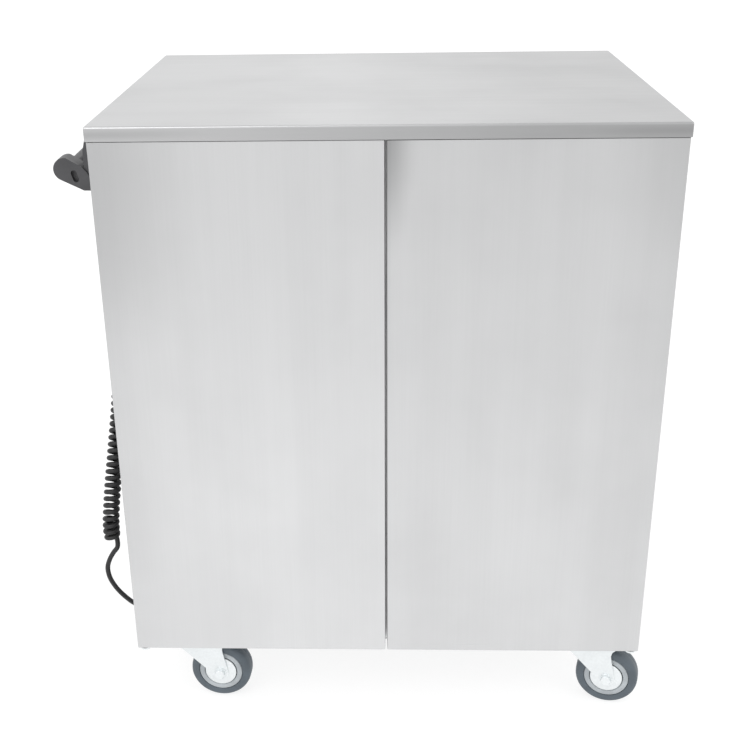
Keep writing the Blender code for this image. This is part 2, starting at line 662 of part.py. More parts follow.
def handle_bracket(name, way):
    """A moulded arm with a round end, on a flange against the side; way is +1 at the front."""
    face = way * (FRONT + HANDLE_FRONT)

    def span(start, end):
        return sorted((face + way * start, face + way * end))

    wall = LEFT - CLEAR
    lobe = (LEFT - LOBE_REACH, LOBE_HEIGHT + LOBE_RISE)
    outline = [(wall, LOBE_HEIGHT - 0.029), (LEFT - 0.0213, LOBE_HEIGHT - 0.0287)]
    outline += arc(lobe, LOBE_RADIUS, 248, 80, 20)
    outline += [
        (LEFT - 0.0315, LOBE_HEIGHT + 0.0104), (LEFT - 0.0225, LOBE_HEIGHT + 0.0050),
        (LEFT - 0.0150, LOBE_HEIGHT - 0.0030), (LEFT - 0.0110, LOBE_HEIGHT - 0.0120),
        (wall, LOBE_HEIGHT - 0.0150),
    ]
    arm = prism(outline, *span(0, HANDLE_WIDTH), "y")
    flange_outline = [
        (wall, LOBE_HEIGHT - 0.0295), (LEFT - 0.016, LOBE_HEIGHT - 0.0295),
        (LEFT - 0.019, LOBE_HEIGHT - 0.024),
        (LEFT - 0.019, LOBE_HEIGHT + 0.026), (LEFT - 0.014, LOBE_HEIGHT + 0.046), (wall, LOBE_HEIGHT + 0.048),
    ]
    flange = prism(flange_outline, *span(0.003, 0.040), "y")
    slot_outline = arc((LEFT - 0.0336, LOBE_HEIGHT - 0.0040), 0.0042, 16, 196, 6)
    slot_outline += arc((LEFT - 0.0310, LOBE_HEIGHT - 0.0128), 0.0042, 196, 376, 6)
    slot = prism(slot_outline, *span(-0.005, 0.007), "y")
    near, far = span(HANDLE_WIDTH - SOCKET_DEPTH, HANDLE_WIDTH + 0.005)
    socket = rod(BAR_RADIUS + CLEAR, near, far, (LEFT - BAR_REACH, 0, BAR_HEIGHT), "y", 24)
    bracket = cut(joined(arm, flange), slot, socket)
    place(f"handle_bracket_{name}", bracket, black_plastic())


# ---------------------------------------------------------------- controls
def controls():
    low_y, high_y = CONTROL_Y - CONTROL_SIZE[1] / 2, CONTROL_Y + CONTROL_SIZE[1] / 2
    low_z, high_z = CONTROL_Z - CONTROL_SIZE[2] / 2, CONTROL_Z + CONTROL_SIZE[2] / 2
    housing = block((CONTROL_FACE, low_y, low_z), (LEFT - CLEAR, high_y, high_z), 0.003)
    knob_y = CONTROL_Y + KNOB_OFFSET_Y
    switch_y = CONTROL_Y + SWITCH_OFFSET_Y
    lamp_y = CONTROL_Y + LAMP_OFFSET_Y
    spindle_bore = rod(SPINDLE_RADIUS + CLEAR, -0.01, 0.012, (CONTROL_FACE, knob_y, CONTROL_Z), "x", 12)
    lamp_bore = rod(LAMP_RADIUS * 0.7 + CLEAR, -0.01, 0.010, (CONTROL_FACE, lamp_y, CONTROL_Z), "x", 12)
    pocket_half = SWITCH_HALF + 0.0015
    pocket = block((CONTROL_FACE - 0.01, switch_y - SWITCH_WIDTH / 2 - CLEAR, CONTROL_Z - pocket_half),
                   (CONTROL_FACE + 0.016, switch_y + SWITCH_WIDTH / 2 + CLEAR, CONTROL_Z + pocket_half))
    place("control_housing", cut(housing, spindle_bore, lamp_bore, pocket), black_plastic())

    knob_face = CONTROL_FACE - 0.0006
    profile = [
        (0, KNOB_DEPTH), (KNOB_RADIUS - 0.003, KNOB_DEPTH), (KNOB_RADIUS - 0.001, KNOB_DEPTH - 0.002),
        (KNOB_RADIUS, 0), (SPINDLE_RADIUS, 0), (SPINDLE_RADIUS, -0.010), (0, -0.010),
    ]
    middle = (knob_face, knob_y, CONTROL_Z)
    body = turned([(r, -a) for r, a in profile], middle, "x")
    pointer = block((knob_face - KNOB_DEPTH - 0.001, knob_y - 0.0015, CONTROL_Z + 0.004),
                    (knob_face - KNOB_DEPTH + 0.002, knob_y + 0.0015, CONTROL_Z + KNOB_RADIUS - 0.003))
    place("thermostat_knob", joined(body, pointer), black_plastic(), middle)

    pivot = (CONTROL_FACE + 0.005, switch_y, CONTROL_Z)
    place("power_switch", rocker(pivot), material("switch_green", (0.05, 0.30, 0.10), 0.4), pivot)

    lens = [(0, -0.003), (LAMP_RADIUS * 0.7, -0.0022), (LAMP_RADIUS, 0), (LAMP_RADIUS * 0.7, 0),
            (LAMP_RADIUS * 0.7, 0.009), (0, 0.009)]
    lamp = turned(lens, (CONTROL_FACE - CLEAR, lamp_y, CONTROL_Z), "x", 16)
    place("pilot_lamp", lamp, material("lamp_amber", (0.80, 0.30, 0.05), 0.2), smooth=True)


def rocker(pivot):
    """A rocker turned to its off position about its pivot: a V-shaped face on a body with round ends."""
    half = SWITCH_HALF
    outline = [(-0.0075, half - 0.0010), (-0.0052, 0), (-0.0075, -half + 0.0010)]
    outline += arc((0, 0), half, 225, 315, 3)
    outline += [(0.0060, -0.0040), (0.0060, 0.0040)]
    outline += arc((0, 0), half, 45, 135, 3)
    tilt = Matrix.Rotation(math.radians(SWITCH_TILT), 4, "Y")
    shape = prism(outline, -SWITCH_WIDTH / 2, SWITCH_WIDTH / 2, "y")
    shape.transform(Matrix.Translation(pivot) @ tilt)
    return shape


# ---------------------------------------------------------------- mains lead
def mains_lead():
    gland_y = on_body(TAIL_ROUTE[0]).y + CLEAR
    gland_x, _, gland_z = on_body(TAIL_ROUTE[0])
    elbow = block((LEFT - 0.0262, gland_y + 0.026, gland_z - 0.0135),
                  (LEFT - CLEAR, gland_y + 0.056, gland_z + 0.0135), 0.003)
    relief = turned([(0, 0), (0.0048, 0), (0.0085, 0.027), (0.0085, 0.030), (0, 0.030)],
                    (gland_x, gland_y, gland_z), "y", 16)
    place("cord_gland", joined(elbow, relief), black_plastic())

    tail = smooth_route([on_body(p) for p in TAIL_ROUTE], 5 * CORD_RADIUS)
    tail.append(Vector((tail[-1].x, tail[-1].y, COIL_BOTTOM - CLEAR)))
    tube("cord_tail", tail, CORD_RADIUS, cord_rubber())
    coil = smooth_route([on_body(p) for p in COIL_ROUTE], 2 * COIL_RADIUS)
    coil.insert(0, Vector((coil[0].x, coil[0].y, COIL_BOTTOM)))
    coil.append(Vector((PLUG_X, PLUG_Y, COIL_TOP)))
    tube("cord_coil", coil, COIL_RADIUS, cord_rubber())
    heights = (COIL_TOP + CLEAR, (COIL_TOP + PLUG_BOTTOM) / 2, PLUG_BOTTOM - CLEAR)
    tube("cord_lead", [Vector((PLUG_X, PLUG_Y, z)) for z in heights], CORD_RADIUS, cord_rubber())
    mains_plug()
    plug_holder()


def mains_plug():
    """A straight two-pin plug that hangs in its holder with its pins up."""
    profile = [
        (0, PLUG_BOTTOM), (0.0050, PLUG_BOTTOM), (0.0075, PLUG_BOTTOM + 0.026),
        (PLUG_RADIUS - 0.003, PLUG_BOTTOM + 0.034), (PLUG_RADIUS, PLUG_BOTTOM + 0.040),
        (PLUG_RADIUS, PLUG_TOP), (0, PLUG_TOP),
    ]
    body = turned(profile, (PLUG_X, PLUG_Y, 0), "z", 20)
    pins = [
        rod(PLUG_PIN_RADIUS, PLUG_TOP - 0.002, PLUG_TOP + PLUG_PIN_LENGTH,
            (PLUG_X, PLUG_Y + way * PLUG_PIN_SPACING / 2, 0), "z", 10)
        for way in (-1, 1)
    ]
    place("mains_plug", joined(body, *pins), black_plastic())


def plug_holder():
    bottom = PLUG_TOP + CLEAR
    length, width, height = HOLDER_SIZE
    wall = LEFT - CLEAR
    socket = block((LEFT - length, PLUG_Y - width / 2, bottom),
                   (wall, PLUG_Y + width / 2, bottom + height), 0.002)
    flange = block((wall - 0.0025, PLUG_Y - width / 2 - 0.010, bottom - 0.030),
                   (wall, PLUG_Y + width / 2 + 0.010, bottom + height + 0.010))
    holes = [
        rod(PLUG_PIN_RADIUS + CLEAR, bottom - 0.01, PLUG_TOP + PLUG_PIN_LENGTH + 0.001,
            (PLUG_X, PLUG_Y + way * PLUG_PIN_SPACING / 2, 0), "z", 10)
        for way in (-1, 1)
    ]
    place("plug_holder", cut(joined(socket, flange), *holes), black_plastic())


# ---------------------------------------------------------------- casters
def casters():
    for corner, degrees in PARKED_ANGLE.items():
        end, side = corner.split("_")
        x = LEFT + CASTER_INSET_X if side == "left" else RIGHT - CASTER_INSET_X
        y = FRONT + CASTER_INSET_Y if end == "front" else BACK - CASTER_INSET_Y
        caster(corner, Vector((x, y, 0)), math.radians(degrees), braked=end == "rear")


def caster(corner, axis, angle, braked):
    """A swivel caster on its swivel axis, trailing towards +X and turned by its parked angle."""
    turn = Matrix.Translation(axis) @ Matrix.Rotation(angle, 4, "Z")
    hub = turn @ Vector((CASTER_TRAIL, 0, WHEEL_RADIUS))

    def put(name, mesh, finish, origin, smooth=False):
        mesh.transform(turn)
        return place(name, mesh, finish, origin, smooth)

    place(f"caster_plate_{corner}", caster_plate(axis), zinc())
    put(f"caster_fork_{corner}", caster_fork(braked), zinc(), axis)
    spot = (CASTER_TRAIL, 0, WHEEL_RADIUS)
    core_finish = material("wheel_grey", (0.45, 0.46, 0.47), 0.5)
    put(f"caster_wheel_{corner}", wheel_core(spot), core_finish, hub, True)
    put(f"caster_tyre_{corner}", tyre(spot), material("tyre_rubber", (0.10, 0.12, 0.14), 0.6), hub, True)
    if braked:
        pivot = turn @ Vector((*brake_pivot(), 0)).xzy
        put(f"brake_pedal_{corner}", brake_pedal(), zinc(), pivot)


def caster_plate(axis):
    """A bolt plate under the base pan with the upper race below it."""
    length, width, thick = CASTER_PLATE
    top = BASE_UNDER - CLEAR
    plate = block((axis.x - length / 2, axis.y - width / 2, top - thick),
                  (axis.x + length / 2, axis.y + width / 2, top))
    race_bottom = CROWN_TOP + CLEAR
    profile = [(0, race_bottom), (RACE_RADIUS - 0.003, race_bottom), (RACE_RADIUS, CROWN_TOP + 0.003),
               (RACE_RADIUS - 0.001, top - thick / 2), (0, top - thick / 2)]
    return joined(plate, turned(profile, (axis.x, axis.y, 0), "z", 24))


def caster_fork(braked):
    """Crown and two legs round the wheel, with the axle bolt across them."""
    crown_under = CROWN_TOP - FORK_SHEET
    outer = FORK_INNER / 2 + FORK_SHEET
    hub = (CASTER_TRAIL, WHEEL_RADIUS)
    ahead = CASTER_TRAIL + CROWN_AHEAD
    outline = [(-CROWN_BEHIND, CROWN_TOP), (0.001 - CROWN_BEHIND, crown_under - 0.002),
               (CASTER_TRAIL - 0.024, WHEEL_RADIUS + 0.0085)]
    outline += arc(hub, FORK_FOOT, 228, 360, 6)
    outline += [(ahead - 0.0050, crown_under - 0.0220), (ahead - 0.0058, crown_under - 0.0160),
                (ahead - 0.0040, crown_under - 0.0090), (ahead, crown_under - 0.0050), (ahead, CROWN_TOP)]
    crown = block((-CROWN_BEHIND, -outer, crown_under), (ahead, outer, CROWN_TOP))
    legs = [
        prism(outline, way * FORK_INNER / 2, way * outer, "y") for way in (-1, 1)
    ]
    head, head_thick = BOLT_HEAD
    grip = outer + head_thick
    half = [(AXLE_RADIUS, outer - 0.0005), (head, outer - 0.0005), (head, grip - 0.001), (head - 0.001, grip),
            (0, grip)]
    axle = turned([(r, -a) for r, a in half[::-1]] + half, (CASTER_TRAIL, 0, WHEEL_RADIUS), "y", 12)
    pieces = [crown, *legs, axle]
    if braked:
        x, z = brake_pivot()
        pieces.append(rod(PEDAL_PIN_RADIUS, -outer - 0.002, outer + 0.002, (x, 0, z), "y", 10))
    return joined(*pieces)


def wheel_core(spot):
    """A moulded wheel: hub, web and a rim with lips."""
    half_hub, half_rim = HUB_WIDTH / 2, WHEEL_WIDTH / 2 - 0.001
    bore = AXLE_RADIUS + CLEAR
    half = [
        (bore, half_hub), (HUB_RADIUS, half_hub), (HUB_RADIUS + 0.002, WEB_HALF),
        (RIM_RADIUS - RIM_LIP - 0.001, WEB_HALF), (RIM_RADIUS - RIM_LIP, half_rim),
        (RIM_RADIUS - CLEAR, half_rim),
    ]
    profile = half + [(r, -a) for r, a in half[::-1]]
    return turned(profile, spot, "y", 24)


def tyre(spot):
    half, round_by = WHEEL_WIDTH / 2, TREAD_ROUND
    outline = [(RIM_RADIUS, half - 0.0005), (WHEEL_RADIUS - round_by, half - 0.0005)]
    shoulder = arc((WHEEL_RADIUS - round_by, half - round_by), round_by, 67, 0, 3)
    outline += shoulder
    profile = outline + [(r, -a) for r, a in outline[::-1]]
    return turned(profile, spot, "y", 32)


def brake_pivot():
    """The pedal's pin in the fork, as (x, z) from the swivel axis."""
    return BRAKE_PIN_X, CROWN_TOP - FORK_SHEET - BRAKE_PIN_DROP


def brake_pedal():
    """A pressed lever on a pin between the fork's legs, sloping up over the wheel when it is off."""
    x, z = brake_pivot()
    outline = [
        (0.000, -0.0046), (0.030, -0.0020), (0.058, 0.0035), (0.066, 0.0020), (PEDAL_LENGTH, 0.0045),
        (0.059, 0.0075), (0.030, 0.0020), (0.004, 0.0044),
    ]
    tread = prism([(x + a, z + b) for a, b in outline], -PEDAL_HALF, PEDAL_HALF, "y")
    barrel = rod(PEDAL_BARREL, -PEDAL_HALF - 0.001, PEDAL_HALF + 0.001, (x, 0, z), "y", 16)
    bore = rod(PEDAL_PIN_RADIUS + CLEAR, -2 * PEDAL_HALF, 2 * PEDAL_HALF, (x, 0, z), "y", 16)
    return cut(joined(barrel, tread), bore)


def main():
    clear_scene()
    worktop()
    side_panels()
    back_panel()
    front_frame()
    base_pan()
    insulation()
    chambers()
    doors()
    push_handle()
    controls()
    mains_lead()
    casters()


main()
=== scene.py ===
"""Looks of the insulated food carrier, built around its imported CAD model.

Lengths are in metres. +Z is up, the doors face -Y, and the push bar, the controls and the mains lead are on
the -X side. Every piece rides on one of the model's bodies, so that it moves with it.
"""
from __future__ import annotations

import json
import logging
import math
from dataclasses import dataclass
from enum import Enum
from typing import Iterable, Sequence

import bmesh
import bpy
from mathutils import Matrix, Vector

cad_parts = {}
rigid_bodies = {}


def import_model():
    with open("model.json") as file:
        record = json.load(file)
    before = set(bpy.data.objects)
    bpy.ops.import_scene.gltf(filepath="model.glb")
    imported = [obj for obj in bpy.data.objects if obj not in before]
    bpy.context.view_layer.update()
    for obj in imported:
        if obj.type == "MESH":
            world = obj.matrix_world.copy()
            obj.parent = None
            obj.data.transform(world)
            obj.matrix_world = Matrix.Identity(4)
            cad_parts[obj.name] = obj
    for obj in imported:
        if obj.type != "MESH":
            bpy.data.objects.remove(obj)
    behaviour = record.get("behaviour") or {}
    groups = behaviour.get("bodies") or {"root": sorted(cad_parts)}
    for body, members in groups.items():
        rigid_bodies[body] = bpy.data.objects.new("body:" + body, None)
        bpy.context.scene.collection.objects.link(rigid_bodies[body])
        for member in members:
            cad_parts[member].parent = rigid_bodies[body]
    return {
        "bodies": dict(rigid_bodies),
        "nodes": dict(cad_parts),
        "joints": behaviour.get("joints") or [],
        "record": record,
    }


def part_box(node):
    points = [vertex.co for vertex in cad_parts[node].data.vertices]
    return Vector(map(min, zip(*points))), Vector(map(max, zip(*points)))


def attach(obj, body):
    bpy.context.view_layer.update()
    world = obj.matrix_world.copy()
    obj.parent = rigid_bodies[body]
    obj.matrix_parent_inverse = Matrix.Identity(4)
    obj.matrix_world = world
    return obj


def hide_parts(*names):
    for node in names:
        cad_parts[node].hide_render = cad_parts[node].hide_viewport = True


LOG = logging.getLogger("food_carrier")
CABINET = "cabinet"
WELD_REACH = 0.00001                # corners closer than this are one
SUNK = 0.0002                       # how far an added piece's foot is inside what it stands on
SIDES = (("left", -1.0), ("right", 1.0))
Profile = Sequence[tuple[float, float]]
Route = tuple[tuple[float, float, float], ...]
Spots = list[tuple[Sequence[float], Sequence[float]]]


class Axis(Enum):
    """A direction of the carrier's own frame."""

    X = 0
    Y = 1
    Z = 2

    @property
    def vector(self) -> Vector:
        """The direction as a vector of length one."""
        return Vector([float(i == self.value) for i in range(3)])


@dataclass(frozen=True)
class Extent:
    """The box round one node of the model."""

    low: Vector
    high: Vector

    @classmethod
    def of(cls, node: str) -> Extent:
        """The box of a node, by the node's name."""
        return cls(*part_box(node))

    @property
    def middle(self) -> Vector:
        """The middle of the box."""
        return (self.low + self.high) / 2

    @property
    def half(self) -> Vector:
        """Half its size along each axis."""
        return (self.high - self.low) / 2

    def inside(self, axis: Axis, low: float, high: float | None = None) -> tuple[float, float]:
        """Two places along an axis, one inside each end; both are as far in if only one distance is given."""
        return self.low[axis.value] + low, self.high[axis.value] - (low if high is None else high)


# ---------------------------------------------------------------- finishes
@dataclass(frozen=True)
class Wash:
    """A slow change of tone along one direction: painted reflection and shade, as soft reflections leave on
    sheet metal.
    """

    axis: Axis
    start: float
    end: float
    tone_start: float
    tone_end: float


@dataclass(frozen=True)
class Cloud:
    """A soft darker or lighter patch painted into the tone; on the doors and the worktop's lip it is painted
    reflection and shade.
    """

    middle: tuple[float, float, float]
    reach: tuple[float, float, float]
    tone: float


class Tree:
    """A material's nodes while they are put together."""

    def __init__(self, name: str) -> None:
        """Make a material with one Principled shader.

        Args:
            name: the material's name.
        """
        self.material = bpy.data.materials.new(name)
        self.material.use_nodes = True
        self.nodes = self.material.node_tree.nodes
        self.shader = self.nodes["Principled BSDF"]
        self.place = self.node("ShaderNodeTexCoord").outputs["Object"]
        self.split = self.node("ShaderNodeSeparateXYZ")
        self.link(self.place, self.split.inputs[0])

    def node(self, kind: str, **settings: object) -> bpy.types.Node:
        """Add a node and set its own properties.

        Args:
            kind: the node's type name.
            settings: properties of the node.

        Returns:
            The new node.
        """
        made = self.nodes.new(kind)
        for key, value in settings.items():
            setattr(made, key, value)
        return made

    def link(self, source: bpy.types.NodeSocket, target: bpy.types.NodeSocket) -> None:
        """Join an output to an input."""
        self.material.node_tree.links.new(source, target)

    def set(self, **values: object) -> None:
        """Set sockets of the main shader; a low line in a name stands for a space."""
        for key, value in values.items():
            self.shader.inputs[key.replace("_", " ")].default_value = value

    def math(self, kind: str, a: object, b: object) -> bpy.types.NodeSocket:
        """Work out one sum from numbers or outputs.

        Args:
            kind: the operation, such as MULTIPLY.
            a: the first number or output.
            b: the second number or output.

        Returns:
            The result's output.
        """
        made = self.node("ShaderNodeMath", operation=kind)
        for socket, value in zip(made.inputs, (a, b)):
            if isinstance(value, bpy.types.NodeSocket):
                self.link(value, socket)
            else:
                socket.default_value = value
        return made.outputs[0]

    def ranged(self, value: bpy.types.NodeSocket, low: float, high: float, to_low: float, to_high: float,
               smooth: bool = False) -> bpy.types.NodeSocket:
        """Map a value from one range to another, held at the ends.

        Args:
            value: the output to map.
            low: where the range starts.
            high: where it ends.
            to_low: the result at low.
            to_high: the result at high.
            smooth: ease in and out of both ends.

        Returns:
            The mapped output.
        """
        kind = "SMOOTHSTEP" if smooth else "LINEAR"
        made = self.node("ShaderNodeMapRange", clamp=True, interpolation_type=kind)
        self.link(value, made.inputs["Value"])
        for key, number in (("From Min", low), ("From Max", high), ("To Min", to_low), ("To Max", to_high)):
            made.inputs[key].default_value = number
        return made.outputs["Result"]

    def noise(self, scale: Sequence[float], size: float = 1.0, detail: float = 2.0) -> bpy.types.NodeSocket:
        """Noise from 0 to 1, stretched by a scale for each direction.

        Args:
            scale: how often it repeats along X, Y and Z, per metre.
            size: a factor on all three.
            detail: how much fine structure it has.

        Returns:
            The noise's output.
        """
        stretch = self.node("ShaderNodeMapping")
        stretch.inputs["Scale"].default_value = scale
        self.link(self.place, stretch.inputs["Vector"])
        made = self.node("ShaderNodeTexNoise")
        made.inputs["Scale"].default_value = size
        made.inputs["Detail"].default_value = detail
        self.link(stretch.outputs[0], made.inputs["Vector"])
        return made.outputs["Fac"]

    def wash(self, item: Wash) -> bpy.types.NodeSocket:
        """A wash as a factor on the tone."""
        spot = self.split.outputs[item.axis.value]
        return self.ranged(spot, item.start, item.end, item.tone_start, item.tone_end, smooth=True)

    def cloud(self, item: Cloud) -> bpy.types.NodeSocket:
        """A cloud as a factor on the tone.

        Args:
            item: the cloud.

        Returns:
            The factor's output.
        """
        spot = self.place
        for kind, constant in (("SUBTRACT", item.middle), ("DIVIDE", item.reach)):
            made = self.node("ShaderNodeVectorMath", operation=kind)
            made.inputs[1].default_value = constant
            self.link(spot, made.inputs[0])
            spot = made.outputs[0]
        length = self.node("ShaderNodeVectorMath", operation="LENGTH")
        self.link(spot, length.inputs[0])
        return self.ranged(length.outputs["Value"], 0.0, 1.0, item.tone, 1.0, smooth=True)

    def tone(self, colour: Sequence[float], factor: bpy.types.NodeSocket) -> None:
        """Colour the shader by a constant colour times a factor.

        Args:
            colour: red, green and blue.
            factor: the output to multiply them by.
        """
        scaled = self.node("ShaderNodeVectorMath", operation="SCALE")
        scaled.inputs[0].default_value = colour
        self.link(factor, scaled.inputs["Scale"])
        self.link(scaled.outputs[0], self.shader.inputs["Base Color"])

    def bump(self, height: bpy.types.NodeSocket, depth: float, strength: float = 1.0) -> None:
        """Raise the surface by a height map.

        Args:
            height: the map's output.
            depth: metres from its lowest to its highest.
            strength: how much of that is shown.
        """
        made = self.node("ShaderNodeBump")
        made.inputs["Strength"].default_value = strength
        made.inputs["Distance"].default_value = depth
        self.link(height, made.inputs["Height"])
        self.link(made.outputs[0], self.shader.inputs["Normal"])


@dataclass(frozen=True)
class BrushedSteel:
    """Stainless sheet with a fine brushed grain, random smudges, and soft cloudy reflections and shade painted
    into its colour by washes and clouds.
    """

    name: str
    tone: float = 0.62
    grain: Axis = Axis.Z
    roughness: float = 0.33
    streak: float = 0.014
    smudge: float = 0.05
    washes: tuple[Wash, ...] = ()
    clouds: tuple[Cloud, ...] = ()
    slot: str = "stainless"
    hairs: tuple[float, float] = (700.0, 6.0)           # per metre across the grain and along it
    bands: tuple[float, float] = (24.0, 1.1)

    def stretched(self, pitch: tuple[float, float]) -> list[float]:
        """A pitch across and along the grain as one number for each axis."""
        return [pitch[axis is self.grain] for axis in Axis]

    def material(self) -> bpy.types.Material:
        """Build the material.

        Returns:
            The new material.
        """
        tree = Tree(self.name)
        hair = tree.noise(self.stretched(self.hairs), detail=3.0)
        band = tree.noise(self.stretched(self.bands), detail=1.0)
        marks = tree.noise((5.0, 5.0, 5.0), detail=4.0)
        factor = tree.ranged(hair, 0.3, 0.7, 1.0 - self.streak, 1.0 + self.streak)
        factor = tree.math("MULTIPLY", factor, tree.ranged(band, 0.3, 0.7, 0.985, 1.015))
        smudged = tree.ranged(marks, 0.35, 0.75, 1.0, 1.0 - self.smudge, smooth=True)
        factor = tree.math("MULTIPLY", factor, smudged)
        # the washes and clouds paint reflection and shade into the tone
        for item in self.washes:
            factor = tree.math("MULTIPLY", factor, tree.wash(item))
        for item in self.clouds:
            factor = tree.math("MULTIPLY", factor, tree.cloud(item))
        tree.tone((self.tone, self.tone * 1.004, self.tone * 1.012), factor)
        rough = tree.ranged(hair, 0.25, 0.75, self.roughness - 0.05, self.roughness + 0.06)
        rough = tree.math("ADD", rough, tree.ranged(marks, 0.4, 0.7, 0.0, 0.05))
        tree.link(rough, tree.shader.inputs["Roughness"])
        tree.set(Metallic=1.0)
        tree.bump(hair, 0.00001, 0.35)
        return tree.material


@dataclass(frozen=True)
class ZincPlate:
    """Bright zinc plating with its faint spangle."""

    name: str = "zinc_plate"
    colour: tuple[float, float, float] = (0.83, 0.86, 0.87)
    roughness: float = 0.38
    slot: str = "zinc"

    def material(self) -> bpy.types.Material:
        """Build the material.

        Returns:
            The new material.
        """
        tree = Tree(self.name)
        flakes = tree.noise((260.0, 260.0, 260.0), detail=1.0)
        clouds = tree.noise((45.0, 45.0, 45.0), detail=3.0)
        factor = tree.math("MULTIPLY", tree.ranged(flakes, 0.3, 0.7, 0.965, 1.02),
                           tree.ranged(clouds, 0.3, 0.75, 1.0, 0.95))
        tree.tone(self.colour, factor)
        tree.link(tree.ranged(flakes, 0.3, 0.7, self.roughness - 0.06, self.roughness + 0.08),
                  tree.shader.inputs["Roughness"])
        tree.set(Metallic=0.75)
        tree.bump(flakes, 0.00002, 0.5)
        return tree.material


@dataclass(frozen=True)
class Moulding:
    """Moulded plastic or rubber: one colour with a fine eroded texture and slightly worn highlights."""

    name: str
    colour: tuple[float, float, float]
    slot: str
    roughness: float = 0.45
    texture: float = 0.00006
    pitch: float = 900.0
    coat: float = 0.0
    bloom: float = 0.12

    def material(self) -> bpy.types.Material:
        """Build the material.

        Returns:
            The new material.
        """
        tree = Tree(self.name)
        pores = tree.noise((self.pitch,) * 3, detail=2.0)
        dust = tree.noise((38.0, 38.0, 38.0), detail=4.0)
        tree.tone(self.colour, tree.ranged(dust, 0.35, 0.75, 1.0 - self.bloom, 1.0 + self.bloom, smooth=True))
        tree.link(tree.ranged(dust, 0.3, 0.7, self.roughness - 0.04, self.roughness + 0.07),
                  tree.shader.inputs["Roughness"])
        tree.set(Coat_Weight=self.coat)
        tree.bump(pores, self.texture, 0.6)
        return tree.material


@dataclass(frozen=True)
class Lens:
    """A coloured see-through lens over a lamp."""

    name: str = "amber_lens"
    colour: tuple[float, float, float] = (0.85, 0.32, 0.04)
    slot: str = "lamp_lens"

    def material(self) -> bpy.types.Material:
        """Build the material.

        Returns:
            The new material.
        """
        tree = Tree(self.name)
        facets = tree.noise((1500.0, 1500.0, 1500.0), detail=0.0)
        tree.tone(self.colour, tree.ranged(facets, 0.3, 0.7, 0.85, 1.1))
        tree.set(Roughness=0.12, Coat_Weight=0.6)
        tree.bump(facets, 0.0001, 0.4)
        return tree.material


Finish = BrushedSteel | ZincPlate | Moulding | Lens
ZINC = ZincPlate()
FOAM = Moulding("foam_filling", (0.70, 0.60, 0.36), "insulation", roughness=0.9, texture=0.0004, pitch=420.0)


class Workshop:
    """Keeps the made materials, dresses the model's own nodes and adds new pieces."""

    def __init__(self, frame: dict) -> None:
        """Start from the loaded model.
        """
        self.nodes = frame["nodes"]
        self.joints = {joint["name"]: joint for joint in frame["joints"]}
        self.made: dict[str, bpy.types.Material] = {}
        self.pieces = 0

    def material(self, finish: Finish) -> bpy.types.Material:
        """The material of a finish, built once.

        Args:
            finish: the finish.

        Returns:
            Its material.
        """
        if finish.name not in self.made:
            self.made[finish.name] = finish.material()
        return self.made[finish.name]

    def joint_spot(self, joint: str) -> Vector:
        """Where a joint of the model turns."""
        return Vector(self.joints[joint]["pos_m"])

    def dress(self, node: str, finish: Finish, soften: float = 0.0, angle: float = 50.0) -> None:
        """Give a node of the model its finish, and smooth its shading.

        Args:
            node: the node's name.
            finish: what it is made of.
            soften: how far its sharp edges are rounded.
            angle: bends sharper than this, in degrees, stay sharp.
        """
        item = self.nodes[node]
        item.data.materials.clear()
        item.data.materials.append(self.material(finish))
        normals = item.data.attributes.get("custom_normal")
        if normals:
            item.data.attributes.remove(normals)
        item.data.shade_smooth()
        self.smooth(item, soften, angle)

    def smooth(self, item: bpy.types.Object, soften: float, angle: float) -> None:
        """Add the modifiers that join, round and shade a faceted mesh.

        Args:
            item: the mesh object.
            soften: how far its sharp edges are rounded.
            angle: bends sharper than this, in degrees, stay sharp.
        """
        weld = item.modifiers.new("join", "WELD")
        weld.merge_threshold = WELD_REACH
        if soften:
            bevel = item.modifiers.new("round", "BEVEL")
            bevel.width = soften
            bevel.segments = 2
            bevel.limit_method = "ANGLE"
            bevel.angle_limit = math.radians(40)
            bevel.use_clamp_overlap = True
        split = item.modifiers.new("crease", "EDGE_SPLIT")
        split.split_angle = math.radians(angle)
        item.modifiers.new("flats", "WEIGHTED_NORMAL")

    def piece(self, name: str, mesh: bpy.types.Mesh, finish: Finish, body: str,
              stands_for: Iterable[str] = (), angle: float = 35.0) -> bpy.types.Object:
        """Add a new piece in its place and let it ride on a body.

        Args:
            name: the piece's name.
            mesh: its mesh, in the carrier's own frame.
            finish: what it is made of.
            body: the body it moves with.
            stands_for: nodes of the model that it replaces.
            angle: bends sharper than this, in degrees, stay sharp.

        Returns:
            The new object.
        """
        mesh.name = name
        mesh.shade_smooth()
        mesh.set_sharp_from_angle(angle=math.radians(angle))
        mesh.materials.append(self.material(finish))
        item = bpy.data.objects.new(name, mesh)
        bpy.context.scene.collection.objects.link(item)
        return self.add(item, finish, body, stands_for)

    def heads(self, name: str, kind: Fastener, spots: Spots, body: str = CABINET) -> None:
        """Add several zinc-plated heads of one kind as one piece.

        Args:
            name: the piece's name.
            kind: what each head looks like.
            spots: pairs of the middle of a head's foot and where the head points.
            body: the body they move with.
        """
        bm = bmesh.new()
        for spot, direction in spots:
            kind.add(bm, Vector(spot), Vector(direction))
        self.piece(name, to_mesh(bm), ZINC, body)

    def add(self, item: bpy.types.Object, finish: Finish, body: str,
            stands_for: Iterable[str] = ()) -> bpy.types.Object:
        """Let an object ride on a body and what it stands for.

        Args:
            item: the object.
            finish: what it is made of; not used.
            body: the body it moves with.
            stands_for: nodes of the model that it replaces.

        Returns:
            The same object.
        """
        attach(item, body)
        if stands_for:
            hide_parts(*stands_for)
        self.pieces += 1
        LOG.info("piece %s rides on %s", item.name, body)
        return item


